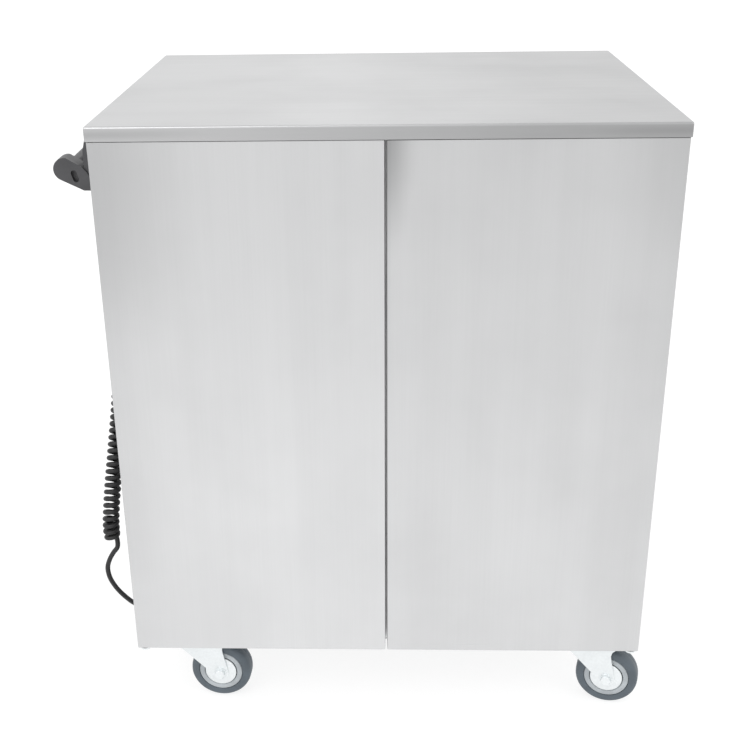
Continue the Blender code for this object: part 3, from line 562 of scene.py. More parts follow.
# ---------------------------------------------------------------- mesh helpers
def to_mesh(bm: bmesh.types.BMesh) -> bpy.types.Mesh:
    """Turn a bmesh into a mesh with its faces pointing out.

    Args:
        bm: the bmesh, which is freed.

    Returns:
        The new mesh.
    """
    bmesh.ops.remove_doubles(bm, verts=bm.verts, dist=WELD_REACH / 10)
    bmesh.ops.recalc_face_normals(bm, faces=bm.faces)
    mesh = bpy.data.meshes.new("shape")
    bm.to_mesh(mesh)
    bm.free()
    return mesh


def along(middle: Vector, direction: Vector) -> Matrix:
    """The matrix that carries +Z to a direction and the origin to middle."""
    return Matrix.Translation(middle) @ Vector(direction).to_track_quat("Z", "Y").to_matrix().to_4x4()


def full_turn(count: int) -> list[float]:
    """Angles evenly round a circle."""
    return [2 * math.pi * i / count for i in range(count)]


def turns_round(middle: Vector, axis: Axis, angles: Iterable[float]) -> list[Matrix]:
    """Matrices that carry the origin to middle, each turned by an angle about an axis."""
    return [Matrix.Translation(middle) @ Matrix.Rotation(angle, 4, axis.name) for angle in angles]


def ring_of(bm: bmesh.types.BMesh, radius: float, height: float, matrix: Matrix,
            steps: int) -> list[bmesh.types.BMVert]:
    """Add corners evenly round Z to a bmesh.

    Args:
        bm: the bmesh to add to.
        radius: how far from Z they are.
        height: how high they are.
        matrix: where they are carried.
        steps: how many there are.

    Returns:
        The corners in order.
    """
    return [bm.verts.new(matrix @ Vector((radius * math.cos(a), radius * math.sin(a), height)))
            for a in full_turn(steps)]


def turn_profile(bm: bmesh.types.BMesh, profile: Profile, matrix: Matrix, steps: int) -> None:
    """Add a closed profile turned round Z to a bmesh.

    Args:
        bm: the bmesh to add to.
        profile: points of (radius, height), in order round the section.
        matrix: where the turned shape goes.
        steps: faces round it.
    """
    rings = [ring_of(bm, radius, height, matrix, steps if radius else 1) for radius, height in profile]
    for first, second in zip(rings, rings[1:] + rings[:1]):
        if len(first) == len(second) == 1:
            continue
        for i in range(steps):
            j = (i + 1) % steps
            corners = [ring[k % len(ring)] for ring, k in ((first, i), (first, j), (second, j), (second, i))]
            bm.faces.new(list(dict.fromkeys(corners)))


def turned(profile: Profile, middle: Vector, direction: Vector, steps: int = 48) -> bpy.types.Mesh:
    """A closed profile turned round a line.

    Args:
        profile: points of (radius, height), in order round the section.
        middle: a point of the line, at height 0.
        direction: where the line goes.
        steps: faces round it.

    Returns:
        The mesh.
    """
    bm = bmesh.new()
    turn_profile(bm, profile, along(middle, direction), steps)
    return to_mesh(bm)


def rounded_bar(bm: bmesh.types.BMesh, low: Sequence[float], high: Sequence[float], bevel: float,
                matrix: Matrix = Matrix.Identity(4)) -> None:
    """Add a block with rounded edges to a bmesh.

    Args:
        bm: the bmesh to add to.
        low: its lowest corner.
        high: its highest corner.
        bevel: how far its edges are rounded.
        matrix: where it goes.
    """
    part = bmesh.new()
    bmesh.ops.create_cube(part, size=1.0)
    size, middle = Vector(high) - Vector(low), (Vector(high) + Vector(low)) / 2
    bmesh.ops.scale(part, vec=size, verts=part.verts)
    bmesh.ops.translate(part, vec=middle, verts=part.verts)
    bmesh.ops.bevel(part, geom=part.edges[:], offset=bevel, segments=2, profile=0.5, affect="EDGES")
    bmesh.ops.transform(part, matrix=matrix, verts=part.verts)
    mesh = bpy.data.meshes.new("part")
    part.to_mesh(mesh)
    part.free()
    bm.from_mesh(mesh)
    bpy.data.meshes.remove(mesh)


def smooth_route(points: Sequence[Vector], spacing: float) -> list[Vector]:
    """Points at even spacing along a smooth curve through the given points.

    Args:
        points: the points to pass.
        spacing: about how far apart the results are.

    Returns:
        The points along the curve.
    """
    spots = [Vector(p) for p in points]
    spots = [2 * spots[0] - spots[1], *spots, 2 * spots[-1] - spots[-2]]
    fine = []
    for i in range(1, len(spots) - 2):
        a, b, c, d = spots[i - 1:i + 3]
        for j in range(20):
            t = j / 20
            fine.append(0.5 * ((2 * b) + (c - a) * t + (2 * a - 5 * b + 4 * c - d) * t**2
                               + (3 * b - a - 3 * c + d) * t**3))
    fine.append(spots[-2])
    total = sum((q - p).length for p, q in zip(fine, fine[1:]))
    count = max(2, round(total / spacing))
    step, travelled, result = total / count, 0.0, [fine[0]]
    for p, q in zip(fine, fine[1:]):
        length = (q - p).length
        while travelled + length >= step * len(result) and len(result) < count:
            result.append(p.lerp(q, (step * len(result) - travelled) / length))
        travelled += length
    return [*result, fine[-1]]


def path_length(points: Sequence[Vector]) -> float:
    """How long the line through the points is."""
    return sum((q - p).length for p, q in zip(points, points[1:]))


# ---------------------------------------------------------------- fasteners
class Drive(Enum):
    """The head of a fastener."""

    DOME = "dome"
    HEX = "hex"


@dataclass(frozen=True)
class Fastener:
    """A bolt or screw head standing on a face, with a washer if it has one."""

    drive: Drive
    radius: float
    height: float
    washer: float = 0.0
    washer_thick: float = 0.0012
    hex_chamfer: float = 0.14           # share of the radius
    hex_top: float = 0.88               # radius of the flat on top, as a share
    # the dome from its foot to the bottom of its socket, in shares of the radius and the height
    dome_shares: Profile = ((1.0, 0.25), (0.93, 0.6), (0.72, 0.9), (0.5, 1.0), (0.42, 1.0), (0.36, 0.45),
                            (0.0, 0.35))

    def add(self, bm: bmesh.types.BMesh, spot: Vector, direction: Vector) -> None:
        """Add one head to a bmesh.

        Args:
            bm: the bmesh to add to.
            spot: the middle of the head's foot.
            direction: where the head points.
        """
        place = along(spot, direction)
        base = self.washer_thick if self.washer else 0.0
        if self.washer:
            section = [(0, -SUNK), (self.washer, -SUNK), (self.washer, base - SUNK),
                       (self.washer - SUNK, base), (0, base)]
            turn_profile(bm, section, place, 32)
        seat = place @ Matrix.Translation((0, 0, base))
        if self.drive is Drive.DOME:
            shares = [(self.radius * out, self.height * up) for out, up in self.dome_shares]
            turn_profile(bm, [(0, -SUNK), (self.radius, -SUNK), *shares], seat, 24)
        else:
            self.hexagon(bm, seat)

    def hexagon(self, bm: bmesh.types.BMesh, place: Matrix) -> None:
        """Add a hexagon head with its turned chamfer.

        Args:
            bm: the bmesh to add to.
            place: carries the origin to the middle of the head's foot and +Z to where it points.
        """
        levels = [(self.radius, -SUNK / 2), (self.radius, self.height - self.hex_chamfer * self.radius),
                  (self.radius * self.hex_top, self.height)]
        rings = [ring_of(bm, radius, height, place, 6) for radius, height in levels]
        for low, high in zip(rings, rings[1:]):
            for i in range(6):
                bm.faces.new((low[i], low[(i + 1) % 6], high[(i + 1) % 6], high[i]))
        bm.faces.new(rings[0][::-1])
        bm.faces.new(rings[-1])


def facing_x(face: float, rows: Sequence[float], levels: Sequence[float], way: float) -> Spots:
    """A place on a face across X for each row (Y) and level (Z), with the direction that it faces."""
    return [((face, y, z), (way, 0, 0)) for y in rows for z in levels]


# ---------------------------------------------------------------- casing
@dataclass
class Casing:
    """Worktop, side and back panels, front frame, base pan and the foam between them."""

    shop: Workshop
    screw: Fastener = Fastener(Drive.DOME, radius=0.0042, height=0.0022)
    rivet: Fastener = Fastener(Drive.DOME, radius=0.0030, height=0.0012)
    screw_inset: float = 0.012
    screw_rows: int = 5
    rivet_rows: int = 4
    rivet_inset: float = 0.04
    rivet_rise: float = 0.010
    lip_top: float = 0.0028             # from the worktop's face down to where its lip begins
    lip_blend: float = 0.0008
    lip_middle: float = 0.008           # from lip_top down to the middle of the painted shade at the lip's ends

    def build(self) -> None:
        """Dress the sheets and add their screws."""
        self.dress_worktop()
        self.dress_panels()
        self.add_back_screws()
        self.add_side_rivets()

    def dress_worktop(self) -> None:
        """Brushed along its length. Painted shade darkens the turned-down lip, and its ends more. A painted
        reflection falls off darker towards the right end, and the top has two faint darker patches on its
        right half.
        """
        low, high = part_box("worktop")
        lip = high.z - self.lip_top
        lip_end_shade_reach = (0.20, 0.03, 0.0100)
        # painted shade: the Z wash darkens the lip and the last two clouds darken its ends; the X wash is a
        # painted reflection falling off towards the right; the first two clouds are faint darker patches on
        # the top
        finish = BrushedSteel(
            "worktop_steel", tone=0.570, grain=Axis.X, roughness=0.34, smudge=0.05,
            washes=(Wash(Axis.Z, lip - self.lip_blend, lip + self.lip_blend, 0.84, 1.0),
                    Wash(Axis.X, low.x, high.x, 1.03, 0.76)),
            clouds=(Cloud((high.x - 0.20, 0.10, high.z), (0.26, 0.13, 0.05), 0.95),
                    Cloud((high.x - 0.10, -0.16, high.z), (0.20, 0.10, 0.05), 0.96),
                    Cloud((high.x, low.y, lip - self.lip_middle), lip_end_shade_reach, 0.86),
                    Cloud((low.x, low.y, lip - self.lip_middle), lip_end_shade_reach, 0.84)))
        self.shop.dress("worktop", finish)

    def dress_panels(self) -> None:
        """Plain brushed panels, the base pan and the hidden foam."""
        upright = BrushedSteel("casing_steel", tone=0.60, grain=Axis.Z, roughness=0.34)
        for node in ("side_panel_left", "side_panel_right", "back_panel", "front_frame"):
            self.shop.dress(node, upright)
        self.shop.dress("base_pan", BrushedSteel("base_steel", tone=0.55, grain=Axis.X, roughness=0.40))
        for node in ("insulation_jacket", "insulation_back", "insulation_divider"):
            self.shop.dress(node, FOAM)

    def add_back_screws(self) -> None:
        """Domed screws round the back panel."""
        box = Extent.of("back_panel")
        xs, zs = box.inside(Axis.X, self.screw_inset), box.inside(Axis.Z, self.screw_inset)
        last = self.screw_rows - 1
        spots = []
        for row in range(self.screw_rows):
            x, z = (ends[0] + (ends[1] - ends[0]) * row / last for ends in (xs, zs))
            spots += [((side, box.high.y, z), (0, 1, 0)) for side in xs]
            if 0 < row < last:
                spots += [((x, box.high.y, edge), (0, 1, 0)) for edge in zs]
        self.shop.heads("back_panel_screws", self.screw, spots)

    def add_side_rivets(self) -> None:
        """Flush rivets along the foot of each side panel."""
        for side, way in SIDES:
            box = Extent.of(f"side_panel_{side}")
            first, end = box.inside(Axis.Y, self.rivet_inset)
            rows = [first + (end - first) / (self.rivet_rows - 1) * i for i in range(self.rivet_rows)]
            spots = facing_x(box.low.x if way < 0 else box.high.x, rows, (box.low.z + self.rivet_rise,), way)
            self.shop.heads(f"side_rivets_{side}", self.rivet, spots)


# ---------------------------------------------------------------- doors
@dataclass
class Doors:
    """The two insulated doors, their seals and pivots."""

    shop: Workshop
    screw: Fastener = Fastener(Drive.DOME, radius=0.0032, height=0.0016)
    screw_rows: int = 6
    screw_inset: float = 0.010
    screw_side_inset: float = 0.022
    pin_radius: float = 0.0047
    bush_radius: float = 0.0080
    bush_height: float = 0.0008
    bush_depth: float = 0.004
    seal: Moulding = Moulding("seal_rubber", (0.045, 0.045, 0.050), "seal_rubber", 0.55, 0.00005, 600.0)
    inner: BrushedSteel = BrushedSteel("inner_panel_steel", tone=0.58, roughness=0.36)
    nylon: Moulding = Moulding("nylon_bush", (0.55, 0.54, 0.50), "black_moulding", 0.5)

    def build(self) -> None:
        """Dress both doors and add what is fixed to them."""
        for side, _ in SIDES:
            self.shop.dress(f"door_skin_{side}", self.skin(side))
            self.shop.dress(f"door_inner_panel_{side}", self.inner)
            self.shop.dress(f"door_insulation_{side}", FOAM)
            self.shop.dress(f"door_seal_{side}", self.seal, soften=0.0015)
            self.add_inner_screws(side)
            self.add_bushes(side)
            for end in ("top", "bottom"):
                self.shop.dress(f"hinge_pivot_{side}_{end}", ZINC)

    def skin(self, side: str) -> BrushedSteel:
        """The brushed finish of one door's outside, with painted reflections and shade in it.

        Args:
            side: left or right.

        Returns:
            The finish.
        """
        low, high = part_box(f"door_skin_{side}")
        # painted reflection: brighter towards the bottom, darker towards the top
        painted_reflection_rise = Wash(Axis.Z, low.z, high.z, 1.09, 0.93)
        # the left door is a lighter copy than the right, with painted shade on its left edge and top-left
        # corner and a painted highlight patch lower down
        if side == "left":
            return BrushedSteel(
                "door_left_steel", tone=0.640, grain=Axis.Z, roughness=0.34,
                washes=(painted_reflection_rise, Wash(Axis.X, low.x, low.x + 0.09, 0.93, 1.0)),
                clouds=(Cloud((low.x + 0.16, low.y, low.z + 0.30), (0.20, 0.2, 0.26), 1.03),
                        Cloud((low.x, low.y, high.z - 0.05), (0.20, 0.2, 0.26), 0.84)))
        return BrushedSteel(
            "door_right_steel", tone=0.606, grain=Axis.Z, roughness=0.34,
            washes=(painted_reflection_rise, Wash(Axis.X, high.x - 0.12, high.x, 1.0, 0.95)),
            # painted shade: a dark wedge of reflection at the top of the meeting edge, running down it as a
            # narrow strip, and a darker top-right corner
            clouds=(Cloud((low.x - 0.004, low.y, high.z + 0.02), (0.050, 0.2, 0.20), 0.58),
                    Cloud((low.x - 0.004, low.y, high.z - 0.05), (0.012, 0.2, 0.60), 0.90),
                    Cloud((high.x, low.y, high.z), (0.14, 0.2, 0.22), 0.92)))

    def add_inner_screws(self, side: str) -> None:
        """Domed screws round the inner panel, outside the seal.

        Args:
            side: left or right.
        """
        box = Extent.of(f"door_inner_panel_{side}")
        foot, head = box.inside(Axis.Z, self.screw_inset)
        levels = [foot + (head - foot) * row / (self.screw_rows - 1) for row in range(self.screw_rows)]
        xs = box.inside(Axis.X, self.screw_side_inset)
        spots = [((x, box.high.y, z), (0, 1, 0)) for z in levels for x in xs]
        self.shop.heads(f"door_screws_{side}", self.screw, spots, f"door_{side}")

    def add_bushes(self, side: str) -> None:
        """Plastic bushes where the pivot pins enter the door.

        Args:
            side: left or right.
        """
        hinge = self.shop.joint_spot(f"door_{side}_hinge")
        box = Extent.of(f"door_skin_{side}")
        pin, wall, top = self.pin_radius, self.bush_radius, self.bush_height
        section = [(pin, -self.bush_depth), (wall, -self.bush_depth), (wall, 0.0), (wall - 0.0006, top),
                   (pin + 0.0003, top), (pin, top - 0.0003)]
        bm = bmesh.new()
        for z, way in ((box.low.z, -1.0), (box.high.z, 1.0)):
            turn_profile(bm, section, along(Vector((hinge.x, hinge.y, z)), Vector((0, 0, way))), 32)
        self.shop.piece(f"door_bushes_{side}", to_mesh(bm), self.nylon, f"door_{side}")


# ---------------------------------------------------------------- inside
@dataclass
class Chambers:
    """The two heated chambers with their runners and heaters."""

    shop: Workshop
    screw: Fastener = Fastener(Drive.DOME, radius=0.0030, height=0.0016)
    post_sheet: float = 0.0025          # from the chamber's wall to the post's face
    screw_inset: float = 0.070
    screw_rise: float = 0.009
    screw_drop: float = 0.006
    liner: BrushedSteel = BrushedSteel("liner_steel", tone=0.56, grain=Axis.Y, roughness=0.38)
    rack: BrushedSteel = BrushedSteel("rack_steel", tone=0.60, grain=Axis.Y, roughness=0.32)
    mat: Moulding = Moulding("heater_mat", (0.30, 0.22, 0.14), "heater_plate", 0.6, 0.0001, 300.0)

    def build(self) -> None:
        """Dress both chambers and add the screws that hold the runners' posts."""
        for side, _ in SIDES:
            self.shop.dress(f"chamber_liner_{side}", self.liner)
            self.shop.dress(f"heater_{side}", self.mat)
            for rail, way in (("a", 1.0), ("b", -1.0)):
                node = f"tray_rack_{side}_{rail}"
                self.shop.dress(node, self.rack, soften=0.0003)
                box = Extent.of(node)
                face = box.low.x + self.post_sheet if way > 0 else box.high.x - self.post_sheet
                spots = facing_x(face, box.inside(Axis.Y, self.screw_inset),
                                 box.inside(Axis.Z, self.screw_rise, self.screw_drop), way)
                self.shop.heads(f"{node}_screws", self.screw, spots)


# ---------------------------------------------------------------- push bar
@dataclass
class PushHandle:
    """The coated push bar between its two moulded brackets."""

    shop: Workshop
    screw: Fastener = Fastener(Drive.DOME, radius=0.0040, height=0.0024)
    screw_inset: float = 0.0065         # from the flange's end
    screw_half_gap: float = 0.016
    screw_drop: float = 0.008           # below the bracket's middle
    flange_face: float = 0.019          # out from the side panel
    bracket_depth: float = 0.0147       # from the bar's end to the bracket's inner face
    plastic: Moulding = Moulding("bracket_plastic", (0.060, 0.060, 0.064), "black_moulding", 0.42, 0.00005,
                                 1100.0)
    coating: Moulding = Moulding("bar_coating", (0.030, 0.030, 0.033), "coated_steel", 0.42, 0.00002, 900.0)
    # the collar's section: how far outside the bar, and how far from the bracket
    collar: Profile = ((0.0002, -0.001), (0.0026, -0.001), (0.0026, 0.0012), (0.0016, 0.0024),
                       (0.0002, 0.0026))

    def build(self) -> None:
        """Dress the bar and the brackets, and add their screws and collars."""
        for end, way in (("front", 1.0), ("rear", -1.0)):
            self.shop.dress(f"handle_bracket_{end}", self.plastic, soften=0.0009)
            self.add_screws(end, way)
            self.add_collar(end, way)
        self.shop.dress("push_bar", self.coating)

    def add_screws(self, end: str, way: float) -> None:
        """Two screws through the flange.

        Args:
            end: front or rear.
            way: where along Y the bracket's inner face points.
        """
        box = Extent.of(f"handle_bracket_{end}")
        edge = box.high.y if way > 0 else box.low.y
        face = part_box("side_panel_left")[0].x - self.flange_face
        middle = box.middle.z - self.screw_drop
        levels = (middle - self.screw_half_gap, middle + self.screw_half_gap)
        self.shop.heads(f"bracket_screws_{end}", self.screw,
                        facing_x(face, (edge - way * self.screw_inset,), levels, -1.0))

    def add_collar(self, end: str, way: float) -> None:
        """A rounded collar where the bar enters the bracket.

        Args:
            end: front or rear.
            way: where along Y the bracket's inner face points.
        """
        bar = Extent.of("push_bar")
        face = bar.low.y + self.bracket_depth if way > 0 else bar.high.y - self.bracket_depth
        section = [(bar.half.x + out, reach) for out, reach in self.collar]
        mesh = turned(section, Vector((bar.middle.x, face, bar.middle.z)), Vector((0, way, 0)))
        self.shop.piece(f"bar_collar_{end}", mesh, self.plastic, CABINET)


# ---------------------------------------------------------------- controls
@dataclass
class Controls:
    """The control housing on the left side with its thermostat, lamp and switch."""

    shop: Workshop
    ribs: int = 24
    ticks: int = 10
    turn_range: float = 270.0
    long_tick: float = 0.0042
    short_tick: float = 0.0026
    dial_gap: float = 0.0012            # between the knob and its dial
    screw_inset: float = 0.008
    bezel_side: float = 0.0018          # width of the switch's frame beside it
    bezel_end: float = 0.0024           # and above and below it
    screw: Fastener = Fastener(Drive.DOME, radius=0.0028, height=0.0014)
    plastic: Moulding = Moulding("housing_plastic", (0.035, 0.035, 0.038), "black_moulding", 0.45)
    print_ink: Moulding = Moulding("dial_print", (0.72, 0.73, 0.74), "black_moulding", 0.5, 0.00001)
    rocker: Moulding = Moulding("switch_green", (0.02, 0.24, 0.07), "switch_rocker", 0.3, 0.00001, coat=0.4)
    # ring sections: how far outside the knob or the lamp, and how far out from the face
    dial: Profile = ((0.0, -SUNK), (0.0065, -SUNK), (0.0065, 0.0003), (0.006, 0.0005), (0.0003, 0.0005),
                     (0.0, 0.0003))
    lamp_ring: Profile = ((0.0001, -0.0003), (0.0022, -0.0003), (0.0022, 0.0004), (0.0014, 0.0012),
                          (0.0004, 0.0012), (0.0001, 0.0008))

    def build(self) -> None:
        """Dress the nodes and add the knob's grip, the dial, the bezels and the screws."""
        self.shop.dress("control_housing", self.plastic, soften=0.0006)
        self.shop.dress("pilot_lamp", Lens())
        self.shop.dress("power_switch", self.rocker, soften=0.0004)
        self.shop.dress("thermostat_knob", self.plastic, soften=0.0004)
        self.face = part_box("control_housing")[0].x
        self.knob = self.shop.joint_spot("thermostat_turn")
        self.knob_radius = Extent.of("thermostat_knob").half.y
        self.add_grip()
        self.add_dial()
        self.add_bezels()
        housing = Extent.of("control_housing")
        rows, levels = (housing.inside(axis, self.screw_inset) for axis in (Axis.Y, Axis.Z))
        self.shop.heads("housing_screws", self.screw, facing_x(self.face, rows, levels, -1.0))

    def add_grip(self) -> None:
        """Ribs round the knob and a light pointer line."""
        front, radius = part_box("thermostat_knob")[0].x, self.knob_radius
        bm = bmesh.new()
        for turn in turns_round(self.knob, Axis.X, full_turn(self.ribs)):
            rounded_bar(bm, (front - self.knob.x + 0.004, -0.0009, radius - 0.0012),
                        (-0.0012, 0.0009, radius + 0.0005), 0.0004, turn)
        self.shop.piece("knob_ribs", to_mesh(bm), self.plastic, "thermostat_knob")
        line = bmesh.new()
        rounded_bar(line, (front - 0.0002, self.knob.y - 0.0007, self.knob.z + 0.005),
                    (front + 0.0008, self.knob.y + 0.0007, self.knob.z + radius - 0.0036), 0.0001)
        self.shop.piece("knob_pointer_line", to_mesh(line), self.print_ink, "thermostat_knob")

    def add_dial(self) -> None:
        """A raised ring with printed ticks round the knob."""
        radius = self.knob_radius + self.dial_gap
        spot = Vector((self.face, self.knob.y, self.knob.z))
        section = [(radius + out, reach) for out, reach in self.dial]
        self.shop.piece("dial_ring", turned(section, spot, Vector((-1, 0, 0)), 64), self.plastic, CABINET)
        angles = [-math.radians(self.turn_range) * i / self.ticks for i in range(self.ticks + 1)]
        bm = bmesh.new()
        for i, turn in enumerate(turns_round(spot, Axis.X, angles)):
            foot = radius + 0.0010
            length = self.short_tick if i % 5 else self.long_tick
            rounded_bar(bm, (-0.0008, -0.0004, foot), (-0.0003, 0.0004, foot + length), 0.0001, turn)
        self.shop.piece("dial_ticks", to_mesh(bm), self.print_ink, CABINET)

    def add_bezels(self) -> None:
        """A frame round the switch and a ring round the lamp."""
        switch = Extent.of("power_switch")
        middle, y_in, z_in = switch.middle, switch.half.y + 0.0004, switch.half.z + 0.0012
        y_out, z_out = y_in + self.bezel_side, z_in + self.bezel_end
        front, back = self.face - 0.0012, self.face + 0.0004
        bm = bmesh.new()
        for way in (-1, 1):
            y_low, y_high = sorted((middle.y + way * y_in, middle.y + way * y_out))
            rounded_bar(bm, (front, y_low, middle.z - z_out), (back, y_high, middle.z + z_out), 0.0004)
            z_low, z_high = sorted((middle.z + way * z_in, middle.z + way * z_out))
            rounded_bar(bm, (front, middle.y - y_out, z_low), (back, middle.y + y_out, z_high), 0.0004)
        self.shop.piece("switch_bezel", to_mesh(bm), self.plastic, CABINET)
        lamp = Extent.of("pilot_lamp")
        section = [(lamp.half.y + out, reach) for out, reach in self.lamp_ring]
        spot = Vector((self.face, lamp.middle.y, lamp.middle.z))
        self.shop.piece("lamp_bezel", turned(section, spot, Vector((-1, 0, 0)), 40), ZINC, CABINET)


# ---------------------------------------------------------------- mains lead
@dataclass(frozen=True)
class RibbedSleeve:
    """Flexible rings that stand on a tapered sleeve."""

    count: int
    start: float
    step: float
    radius: float                       # of the sleeve where it starts
    slope: float                        # how much the radius grows along it
    chamfer: float
    width: float
    root: float = 0.001                 # how far a ring's foot is inside the sleeve
    stand: float = 0.0008               # and how far it stands out

    def add(self, bm: bmesh.types.BMesh, place: Matrix) -> None:
        """Add the rings to a bmesh.

        Args:
            bm: the bmesh to add to.
            place: carries the origin to the sleeve's start and +Z along it.
        """
        for i in range(self.count):
            reach = self.start + self.step * i
            radius = self.radius + self.slope * reach
            section = [(radius - self.root, reach), (radius + self.stand, reach + self.chamfer),
                       (radius + self.stand, reach + self.width - self.chamfer),
                       (radius - self.root, reach + self.width)]
            turn_profile(bm, section, place, 28)


@dataclass
class MainsLead:
    """The curly mains lead from its gland to the plug that hangs in its holder."""

    shop: Workshop
    radius: float = 0.0039
    coil_radius: float = 0.0096         # middle of the wire to the middle of the coil
    pitch: float = 0.0107
    points_per_turn: int = 18
    ease_turns: float = 0.9
    end_share: float = 0.73             # the coil's radius at its two ends
    join_step: int = 3                  # points of the coil that the joining curve runs over
    join_spacing: float = 0.0015
    lead_drop: float = 0.0085           # straight stretch below the plug's neck
    tail_route: Route = (
        (-0.0135, 0.1247, 0.0185), (-0.0136, 0.1100, 0.0193), (-0.0145, 0.0935, 0.0235),
        (-0.0185, 0.0775, 0.0345), (-0.0255, 0.0675, 0.0495), (-0.0345, 0.0615, 0.0655),
        (-0.0425, 0.0580, 0.0815), (-0.0485, 0.0555, 0.0995), (-0.0500, 0.0550, 0.1175),
        (-0.0452, 0.0540, 0.1335), (-0.0375, 0.0530, 0.1475), (-0.0295, 0.0522, 0.1595))
    coil_route: Route = (
        (-0.0365, 0.0520, 0.1835), (-0.0350, 0.0530, 0.2135), (-0.0305, 0.0680, 0.2645),
        (-0.0245, 0.0930, 0.3255), (-0.0200, 0.1250, 0.3885), (-0.0182, 0.1550, 0.4535),
        (-0.0193, 0.1750, 0.5035), (-0.0215, 0.1900, 0.5415))
    rubber: Moulding = Moulding("cord_rubber", (0.011, 0.011, 0.012), "cord_jacket", 0.46, 0.00003, 1400.0)
    plastic: Moulding = Moulding("plug_plastic", (0.030, 0.030, 0.033), "black_moulding", 0.42)
    screw: Fastener = Fastener(Drive.DOME, radius=0.0026, height=0.0014)
    gland_rings: RibbedSleeve = RibbedSleeve(6, 0.003, 0.0040, 0.0050, 0.0037 / 0.027, 0.0004, 0.0020)
    neck_rings: RibbedSleeve = RibbedSleeve(5, 0.004, 0.0044, 0.0051, 0.0025 / 0.026, 0.0005, 0.0023)
    grip_ribs: int = 28
    grip_from: float = 0.044            # up from the plug's neck
    grip_to: float = 0.064
    holder_sheet: float = 0.0025

    def build(self) -> None:
        for node in ("cord_gland", "mains_plug", "plug_holder"):
            self.shop.dress(node, self.plastic, soften=0.0005, angle=40.0)
        self.lay_cord()
        self.add_gland_rings()
        self.add_plug_ribs()
        holder = Extent.of("plug_holder")
        rows, levels = holder.inside(Axis.Y, 0.005), holder.inside(Axis.Z, 0.006, 0.005)
        self.shop.heads("holder_screws", self.screw,
                        facing_x(holder.high.x - self.holder_sheet, rows, levels, -1.0))

    def on_body(self, point: Sequence[float]) -> Vector:
        """A route point, from the body's left side, door face and underside to the carrier's own frame."""
        side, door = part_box("side_panel_left")[0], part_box("door_skin_left")[0]
        return Vector((side.x + point[0], door.y + point[1], side.z + point[2]))

    def neck(self) -> Vector:
        """The middle of the plug's lower end."""
        plug = Extent.of("mains_plug")
        return Vector((plug.middle.x, plug.middle.y, plug.low.z))

    def coil_line(self) -> list[Vector]:
        """The middle line of the coiled stretch.

        Returns:
            Its points from the foot up, a small part of a turn apart.
        """
        low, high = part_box("cord_coil")
        line = [self.on_body(p) for p in self.coil_route]
        foot = Vector((line[0].x, line[0].y, low.z))
        head = Vector((self.neck().x, self.neck().y, high.z))
        return smooth_route([foot, *line, head], self.pitch / self.points_per_turn)

    def helix(self) -> list[Vector]:
        """The wire's own line through the coil, a little narrower at its two ends.

        Returns:
            Its points from the foot up.
        """
        line = self.coil_line()
        total = path_length(line)
        turns = round(total / self.pitch)
        side = Vector((1, 0, 0))
        result, gone = [], 0.0
        for here, there in zip(line, line[1:]):
            forward = (there - here).normalized()
            side = (side - forward * side.dot(forward)).normalized()
            turn = gone / total * turns
            from_end = min(turn, turns - turn) / self.ease_turns
            ease = min(1.0, self.end_share + (1.0 - self.end_share) * from_end)
            angle = 2 * math.pi * turn
            out = side * math.cos(angle) + forward.cross(side) * math.sin(angle)
            result.append(here + out * self.coil_radius * ease)
            gone += (there - here).length
        return result[self.join_step - 1:1 - self.join_step]

    def lead_in(self, straight: list[Vector], coil: list[Vector]) -> list[Vector]:
        """A smooth curve through the straight stretch's points that runs into the start of the coil.

        Args:
            straight: points outside the coil, towards it.
            coil: the coil's points, from that end.

        Returns:
            Points up to the coil's point at join_step, without it.
        """
        meet = coil[self.join_step]
        curve = smooth_route([*straight, coil[0], meet, coil[2 * self.join_step]], self.join_spacing)
        nearest = min(range(len(curve)), key=lambda i: (curve[i] - meet).length)
        return curve[:nearest]

    def wire(self) -> list[Vector]:
        """The whole cord's line.

        Returns:
            Its points from the gland to the plug's neck.
        """
        coil = self.helix()
        neck = self.neck()
        tail = self.lead_in([self.on_body(p) for p in self.tail_route], coil)
        below = Vector((neck.x, neck.y, neck.z - self.lead_drop))
        lead = self.lead_in([neck, below], coil[::-1])
        return [*tail, *coil[self.join_step:-self.join_step], *reversed(lead)]

    def lay_cord(self) -> None:
        line = self.wire()
        curve = bpy.data.curves.new("curly_cord", "CURVE")
        curve.dimensions = "3D"
        curve.bevel_depth = self.radius
        curve.bevel_resolution = 3
        curve.use_fill_caps = True
        spline = curve.splines.new("POLY")
        spline.points.add(len(line) - 1)
        for spot, point in zip(spline.points, line):
            spot.co = (*point, 1.0)
        spline.use_smooth = True
        curve.materials.append(self.shop.material(self.rubber))
        cord = bpy.data.objects.new("curly_cord", curve)
        bpy.context.scene.collection.objects.link(cord)
        self.shop.add(cord, self.rubber, CABINET, ("cord_tail", "cord_coil", "cord_lead"))

    def add_gland_rings(self) -> None:
        """Flexible ribs round the tapered strain relief."""
        start = self.on_body(self.tail_route[0])
        bm = bmesh.new()
        self.gland_rings.add(bm, along(Vector((start.x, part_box("cord_gland")[0].y, start.z)), Axis.Y.vector))
        self.shop.piece("gland_rings", to_mesh(bm), self.plastic, CABINET)

    def add_plug_ribs(self) -> None:
        """Grip ribs round the plug's body and rings on its neck."""
        neck, radius = self.neck(), Extent.of("mains_plug").half.y
        bm = bmesh.new()
        self.neck_rings.add(bm, along(neck, Axis.Z.vector))
        for turn in turns_round(neck, Axis.Z, full_turn(self.grip_ribs)):
            rounded_bar(bm, (radius - 0.0012, -0.0008, self.grip_from),
                        (radius + 0.0004, 0.0008, self.grip_to), 0.0003, turn)
        self.shop.piece("plug_ribs", to_mesh(bm), self.plastic, CABINET)


